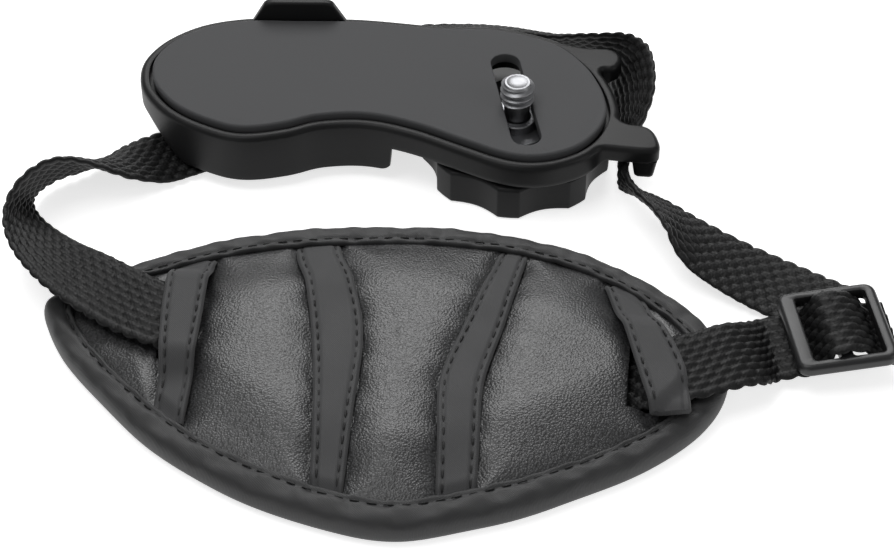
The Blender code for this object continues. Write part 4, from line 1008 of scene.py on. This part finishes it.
def band_distance(x, y):
    """How far each place is outside the nearest band, whose middle and width are functions of y."""
    nearest = np.full(np.shape(x), 99.0)
    for course in COURSES.values():
        line = even(through(course, 8, False), 0.5)[::-1]
        middle, width = np.interp(y, line[:, 1], line[:, 0]), np.interp(y, line[:, 1], line[:, 2])
        nearest = np.minimum(nearest, np.abs(x - middle) - width / 2)
    return nearest


def dome(x, y):
    """The leather's height without its swelling: flat at the binding and domed inside it."""
    return FACE_EDGE_TOP + DOME_RISE * smooth_step(edge_distance(x, y), BINDING_WIDTH,
                                                   BINDING_WIDTH + DOME_REACH)


def leather_top(x, y):
    """Dome, plus swelling from -0.25 mm at a seam to 1.1 mm away from it, plus puckers of up to
    0.16 mm near seams and slow waves of up to 0.2 mm between them."""
    from_edge = edge_distance(x, y) - BINDING_WIDTH
    from_band = band_distance(x, y)
    seam = np.minimum(from_edge + 1.0, from_band)
    swell = 1.35 * (1.0 - np.exp(-np.clip(seam, 0.0, None) / 2.6)) - 0.25
    pucker = 0.16 * np.sin(y / 1.35 + 0.9 * np.sin(x / 4.0))
    pucker = pucker * np.exp(-np.clip(seam, 0.0, None) / 1.8)
    slow = 0.2 * np.sin(x / 6.1 + 0.7) * np.sin(y / 7.3 + 0.4) * smooth_step(seam, 1.0, 6.0)
    return dome(x, y) + np.where(seam > -0.5, swell, -0.25) + pucker * (seam > 0) + slow


# %% Pad cover
def pad_inset(distance):
    """The pad's edge drawn toward its middle by a distance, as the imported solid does."""
    return pad_outline + unit(PAD_MIDDLE - pad_outline) * distance


def cover_surface(rings=92):
    """Rings from the edge toward the middle at the leather's height, then a flat underside."""
    edge = pad_inset(1.6)
    share = np.linspace(1.0, 0.012, rings)[:, None, None]
    flat = PAD_MIDDLE + (edge - PAD_MIDDLE) * share
    top = np.dstack([flat, leather_top(flat[..., 0], flat[..., 1])])
    low = np.dstack([edge[None], np.full((1, len(edge)), PAD_BOTTOM)])
    rows = np.concatenate([low, top])
    return joined(grid(rows), cap(rows[0]), cap(rows[-1]))


cover = make_piece("leather_cover", cover_surface(), leather, "strap",
                   ["pad_face", "pad_foam"], crease=180.0)


# %% Slits
SLIT_HALF_SIDES = (2.4, 8.0)
SLIT_LOW, SLIT_HIGH = 2.45, 12.0


def slit_cutter(name, place):
    """A box through the leather at one slit, only used to cut it."""
    (x, y), (a, b) = place, SLIT_HALF_SIDES
    loop = np.array([(x - a, y - b), (x + a, y - b), (x + a, y + b), (x - a, y + b)])
    walls = carried(loop, [(0.0, SLIT_LOW), (0.0, SLIT_HIGH)])
    return add_object(name, welded_mesh(name, joined(grid(walls), land(walls[0]), land(walls[1]))))


def keep_result(piece):
    """Replace a piece's mesh by what its modifiers make of it, and drop the modifiers."""
    graph = bpy.context.evaluated_depsgraph_get()
    result = bpy.data.meshes.new_from_object(piece.evaluated_get(graph))
    piece.modifiers.clear()
    piece.data = result


cutters = [slit_cutter("slit_left", LEFT_SLIT), slit_cutter("slit_right", RIGHT_SLIT)]
for cutter in cutters:
    cut = cover.modifiers.new(cutter.name, "BOOLEAN")
    cut.operation = "DIFFERENCE"
    cut.solver = "EXACT"
    cut.object = cutter
keep_result(cover)
for cutter in cutters:
    bpy.data.objects.remove(cutter)
print("cover after its slits:", len(cover.data.polygons), "faces")

# %% [markdown]
# ## Bands
# Each band is folded tape, sewn down along both edges; the two loop bands lift over the webbing. A
# band is a closed section of soft tape carried along its course. Its height is the leather's, or the
# webbing's where it bridges it.

# %% Bands
LOOP_MARGIN, LOOP_RISE = 0.4, 8.0
SEAM_INSET = 1.05
LOOP_TOPS = {"loop_left": (LEFT_SLIT, 8.45), "loop_right": (RIGHT_SLIT, 7.85)}


def band_lift(name, y):
    """The underside of a loop band: above the webbing at its slit and down on the leather beyond."""
    if name not in LOOP_TOPS:
        return np.zeros(np.shape(y))
    slit, top = LOOP_TOPS[name]
    away = np.abs(y - slit[1]) - WEB_WIDTH / 2 - LOOP_MARGIN
    return FACE_EDGE_TOP + (top - FACE_EDGE_TOP) * smooth_step(1.0 - away / LOOP_RISE, 0.0, 1.0)


def band_course(name):
    """Middles, widths and unit across arrows of a band, cut off where the binding covers it."""
    line = even(through(COURSES[name], 8, False), 0.4)
    under = edge_distance(line[:, 0], line[:, 1]) > BINDING_WIDTH - 1.4
    line = line[under]
    along = unit(np.gradient(line[:, :2], axis=0))
    return line[:, :2], line[:, 2], np.stack([-along[:, 1], along[:, 0]], axis=1)


def band_height(name, x, y):
    """The underside of the band: a soft greater of dome a and bridge b, (a + b + sqrt((a - b)^2 +
    0.5)) / 2, so that the tape bends over the webbing without a crease, less 1.1 mm where its ends
    are tucked under the binding."""
    low, high = dome(x, y) + 0.1, band_lift(name, y)
    free = smooth_step(edge_distance(x, y), BINDING_WIDTH - 0.6, BINDING_WIDTH + 2.2)
    tucked = 1.1 * (1.0 - free)
    return 0.5 * (low + high + np.sqrt((low - high) ** 2 + 0.5 * (high > 0))) - tucked


def band_surface(name, across_steps=26):
    """Section: v from -1 to 1 across; the top is pressed in at the two stitch lines and rounded off
    at the edges; the underside is flat."""
    middle, width, arrow = band_course(name)
    t = np.linspace(-1.0, 1.0, across_steps + 1)
    v = np.concatenate([t, t[::-1][1:-1]])
    upper = np.concatenate([np.ones(across_steps + 1), np.zeros(across_steps - 1)])
    soft = np.sqrt(np.clip(1.0 - np.abs(v) ** 8, 0.0, 1.0))
    seam_v = 1.0 - SEAM_INSET / (width / 2)
    dent = 0.28 * np.exp(-((np.abs(v)[None, :] - seam_v[:, None]) / 0.10) ** 2)
    place = middle[:, None] + arrow[:, None] * (v[None, :] * width[:, None] / 2)[..., None]
    walked = lengths_along(middle)[:, None]
    ripple = 0.06 * np.sin(walked / 1.05 + 2.0 * v[None, :]) * np.abs(v)[None, :] ** 3
    under = band_height(name, place[..., 0], place[..., 1])
    wave = 0.12 * np.sin(walked / 4.7 + v[None, :])
    top = under + 0.25 + 0.70 * soft[None, :] - dent + ripple + wave
    height = np.where(upper[None, :] > 0, top, under - 0.05)
    rows = np.dstack([place, height])
    return joined(grid(rows), cap(rows[0]), cap(rows[-1]))


BAND_NODES = {"loop_left": "loop_band_left", "rib_left": "rib_band_left",
              "rib_right": "rib_band_right", "loop_right": "loop_band_right"}
for band, node in BAND_NODES.items():
    make_piece("tape_" + band, band_surface(band), band_tape, "strap", [node],
               crease=60.0)

# %% [markdown]
# ## Binding and lining
# A folded tape closes the pad's edge. It is a round-backed section carried round the edge, and since
# the tape is straight and the edge is curved, it puckers: slanting ripples fade toward its outside.

# %% Binding
def binding_surface():
    """Section: lip, rounded back and lip, open toward the pad. Ripple: three sines of the distance
    walked, 0.10, 0.10 and 0.06 mm high and slanted by the place in the section, on the upper side."""
    section = np.array([
        (5.0, 0.75), (5.2, 0.4), (5.0, 0.08), (3.6, 0.0), (2.2, 0.0), (1.3, 0.18), (0.6, 0.7),
        (0.18, 1.4), (0.0, 2.2), (0.0, 3.1), (0.18, 3.9), (0.6, 4.6), (1.2, 5.05), (2.0, 5.3),
        (3.0, 5.4), (3.7, 5.34), (4.2, 5.12), (4.5, 5.2), (4.9, 5.34), (5.25, 5.22),
        (5.4, 4.9), (5.4, 4.45), (4.6, 4.2),
        (2.4, 4.2), (1.5, 3.6), (1.3, 2.6), (1.5, 1.4), (2.4, 0.9),
    ])
    smooth = through(section, 2, True)
    toward = unit(PAD_MIDDLE - pad_outline)
    walked = lengths_along(np.vstack([pad_outline, pad_outline[:1]]))
    share = (walked[:-1] / walked[-1])[None, :] * 2 * math.pi
    inset, height = smooth[:, :1], smooth[:, 1:]
    upper = smooth_step(height, 3.4, 5.0)
    ripple = (0.10 * np.sin(46 * share + inset * 0.9) + 0.10 * np.sin(23 * share - inset * 1.3 + 1.0)
              + 0.06 * np.sin(81 * share + inset * 0.5)) * upper
    out = 0.12 * np.sin(13 * share + 0.6) * smooth_step(3.0 - inset, 0.0, 3.0)
    flat = pad_outline[None] + toward[None] * (inset + out)[..., None]
    rows = np.dstack([flat, height + ripple - 0.05 * upper])
    return grid(rows, wrap=True)


make_piece("edge_tape", binding_surface(), binding_tape, "strap", ["edge_binding"],
           crease=70.0)


# %% Lining
def lining_surface(rings=40):
    """A sheet 0.7 mm thick between the binding's lips, quilted by two crossing sines of 0.12 mm."""
    edge = pad_inset(1.7)[::2]
    share = np.linspace(1.0, 0.02, rings)[:, None, None]
    flat = PAD_MIDDLE + (edge - PAD_MIDDLE) * share
    quilt = 0.12 * np.sin(flat[..., 0] / 2.2) * np.sin(flat[..., 1] / 2.2)
    lower = np.dstack([flat, 1.15 + quilt])
    upper = np.dstack([flat, np.full(flat.shape[:2], 1.85)])[::-1]
    rows = np.concatenate([upper, lower])
    return joined(grid(rows), cap(rows[0]), cap(rows[-1]))


make_piece("cloth_lining", lining_surface(), lining_cloth, "strap", ["pad_lining"],
           crease=60.0)

# %% [markdown]
# ## Stitches
# A row of stitches is one small thread capsule, repeated along a line. The capsules of one row are
# made in one go: the capsule's points are turned to each place's direction and added to it.

# %% Stitches
STITCH_LENGTH, STITCH_PITCH, STITCH_RADIUS = 1.75, 2.7, 0.18
STITCH_LIFT = 0.78
BINDING_SEAM_INSET, BINDING_SEAM_HEIGHT = 4.25, 5.22


def capsule(around=6):
    """A thread stitch along X: rings whose radius is a half ellipse, dipping at both ends."""
    x = np.array([-1.0, -0.86, -0.5, 0.0, 0.5, 0.86, 1.0])
    radius = STITCH_RADIUS * np.sqrt(np.clip(1.0 - x ** 4, 0.01, 1.0))
    angle = 2 * math.pi * np.arange(around) / around
    ring = np.stack([np.cos(angle), np.sin(angle)], axis=1)
    rows = np.stack([np.column_stack([np.full(around, a * STITCH_LENGTH / 2), ring * r
                                      + (0.0, -0.22 * a ** 4)]) for a, r in zip(x, radius)])
    return joined(grid(rows), cap(rows[0]), cap(rows[-1]))


def stitch_row(line):
    """Capsules every pitch along a line of points, each turned to the line's own direction."""
    walked = lengths_along(line)
    places = np.arange(STITCH_PITCH / 2, walked[-1], STITCH_PITCH)
    middle = sampled(line, walked, places)
    along = sampled(line, walked, places + 0.5) - middle
    along /= np.linalg.norm(along, axis=1, keepdims=True) + 1e-9
    side = np.cross((0.0, 0.0, 1.0), along)
    side /= np.linalg.norm(side, axis=1, keepdims=True) + 1e-9
    up = np.cross(along, side)
    points, faces = capsule()
    placed = (middle[:, None] + points[None, :, :1] * along[:, None]
              + points[None, :, 1:2] * side[:, None] + points[None, :, 2:] * up[:, None])
    starts = np.arange(len(places))[:, None, None] * len(points)
    return placed.reshape(-1, 3), [(block[None] + starts).reshape(-1, block.shape[1])
                                   for block in faces]


def band_stitches(name):
    """The two rows of a band, along the dents of its upper side."""
    middle, width, arrow = band_course(name)
    rows = []
    for side in (-1.0, 1.0):
        place = middle + arrow * (side * (width / 2 - SEAM_INSET))[:, None]
        keep = edge_distance(place[:, 0], place[:, 1]) > BINDING_WIDTH + 0.4
        height = band_height(name, place[:, 0], place[:, 1]) + STITCH_LIFT
        rows.append(stitch_row(np.column_stack([place, height])[keep]))
    return joined(*rows)


def binding_stitches():
    """One row round the binding, at one height and one distance from its edge."""
    flat = pad_inset(BINDING_SEAM_INSET)
    return stitch_row(np.column_stack([flat, np.full(len(flat), BINDING_SEAM_HEIGHT)]))


for band in BAND_NODES:
    make_piece("stitches_" + band, band_stitches(band), thread, "strap", crease=180.0)
make_piece("stitches_binding", binding_stitches(), thread, "strap", crease=180.0)
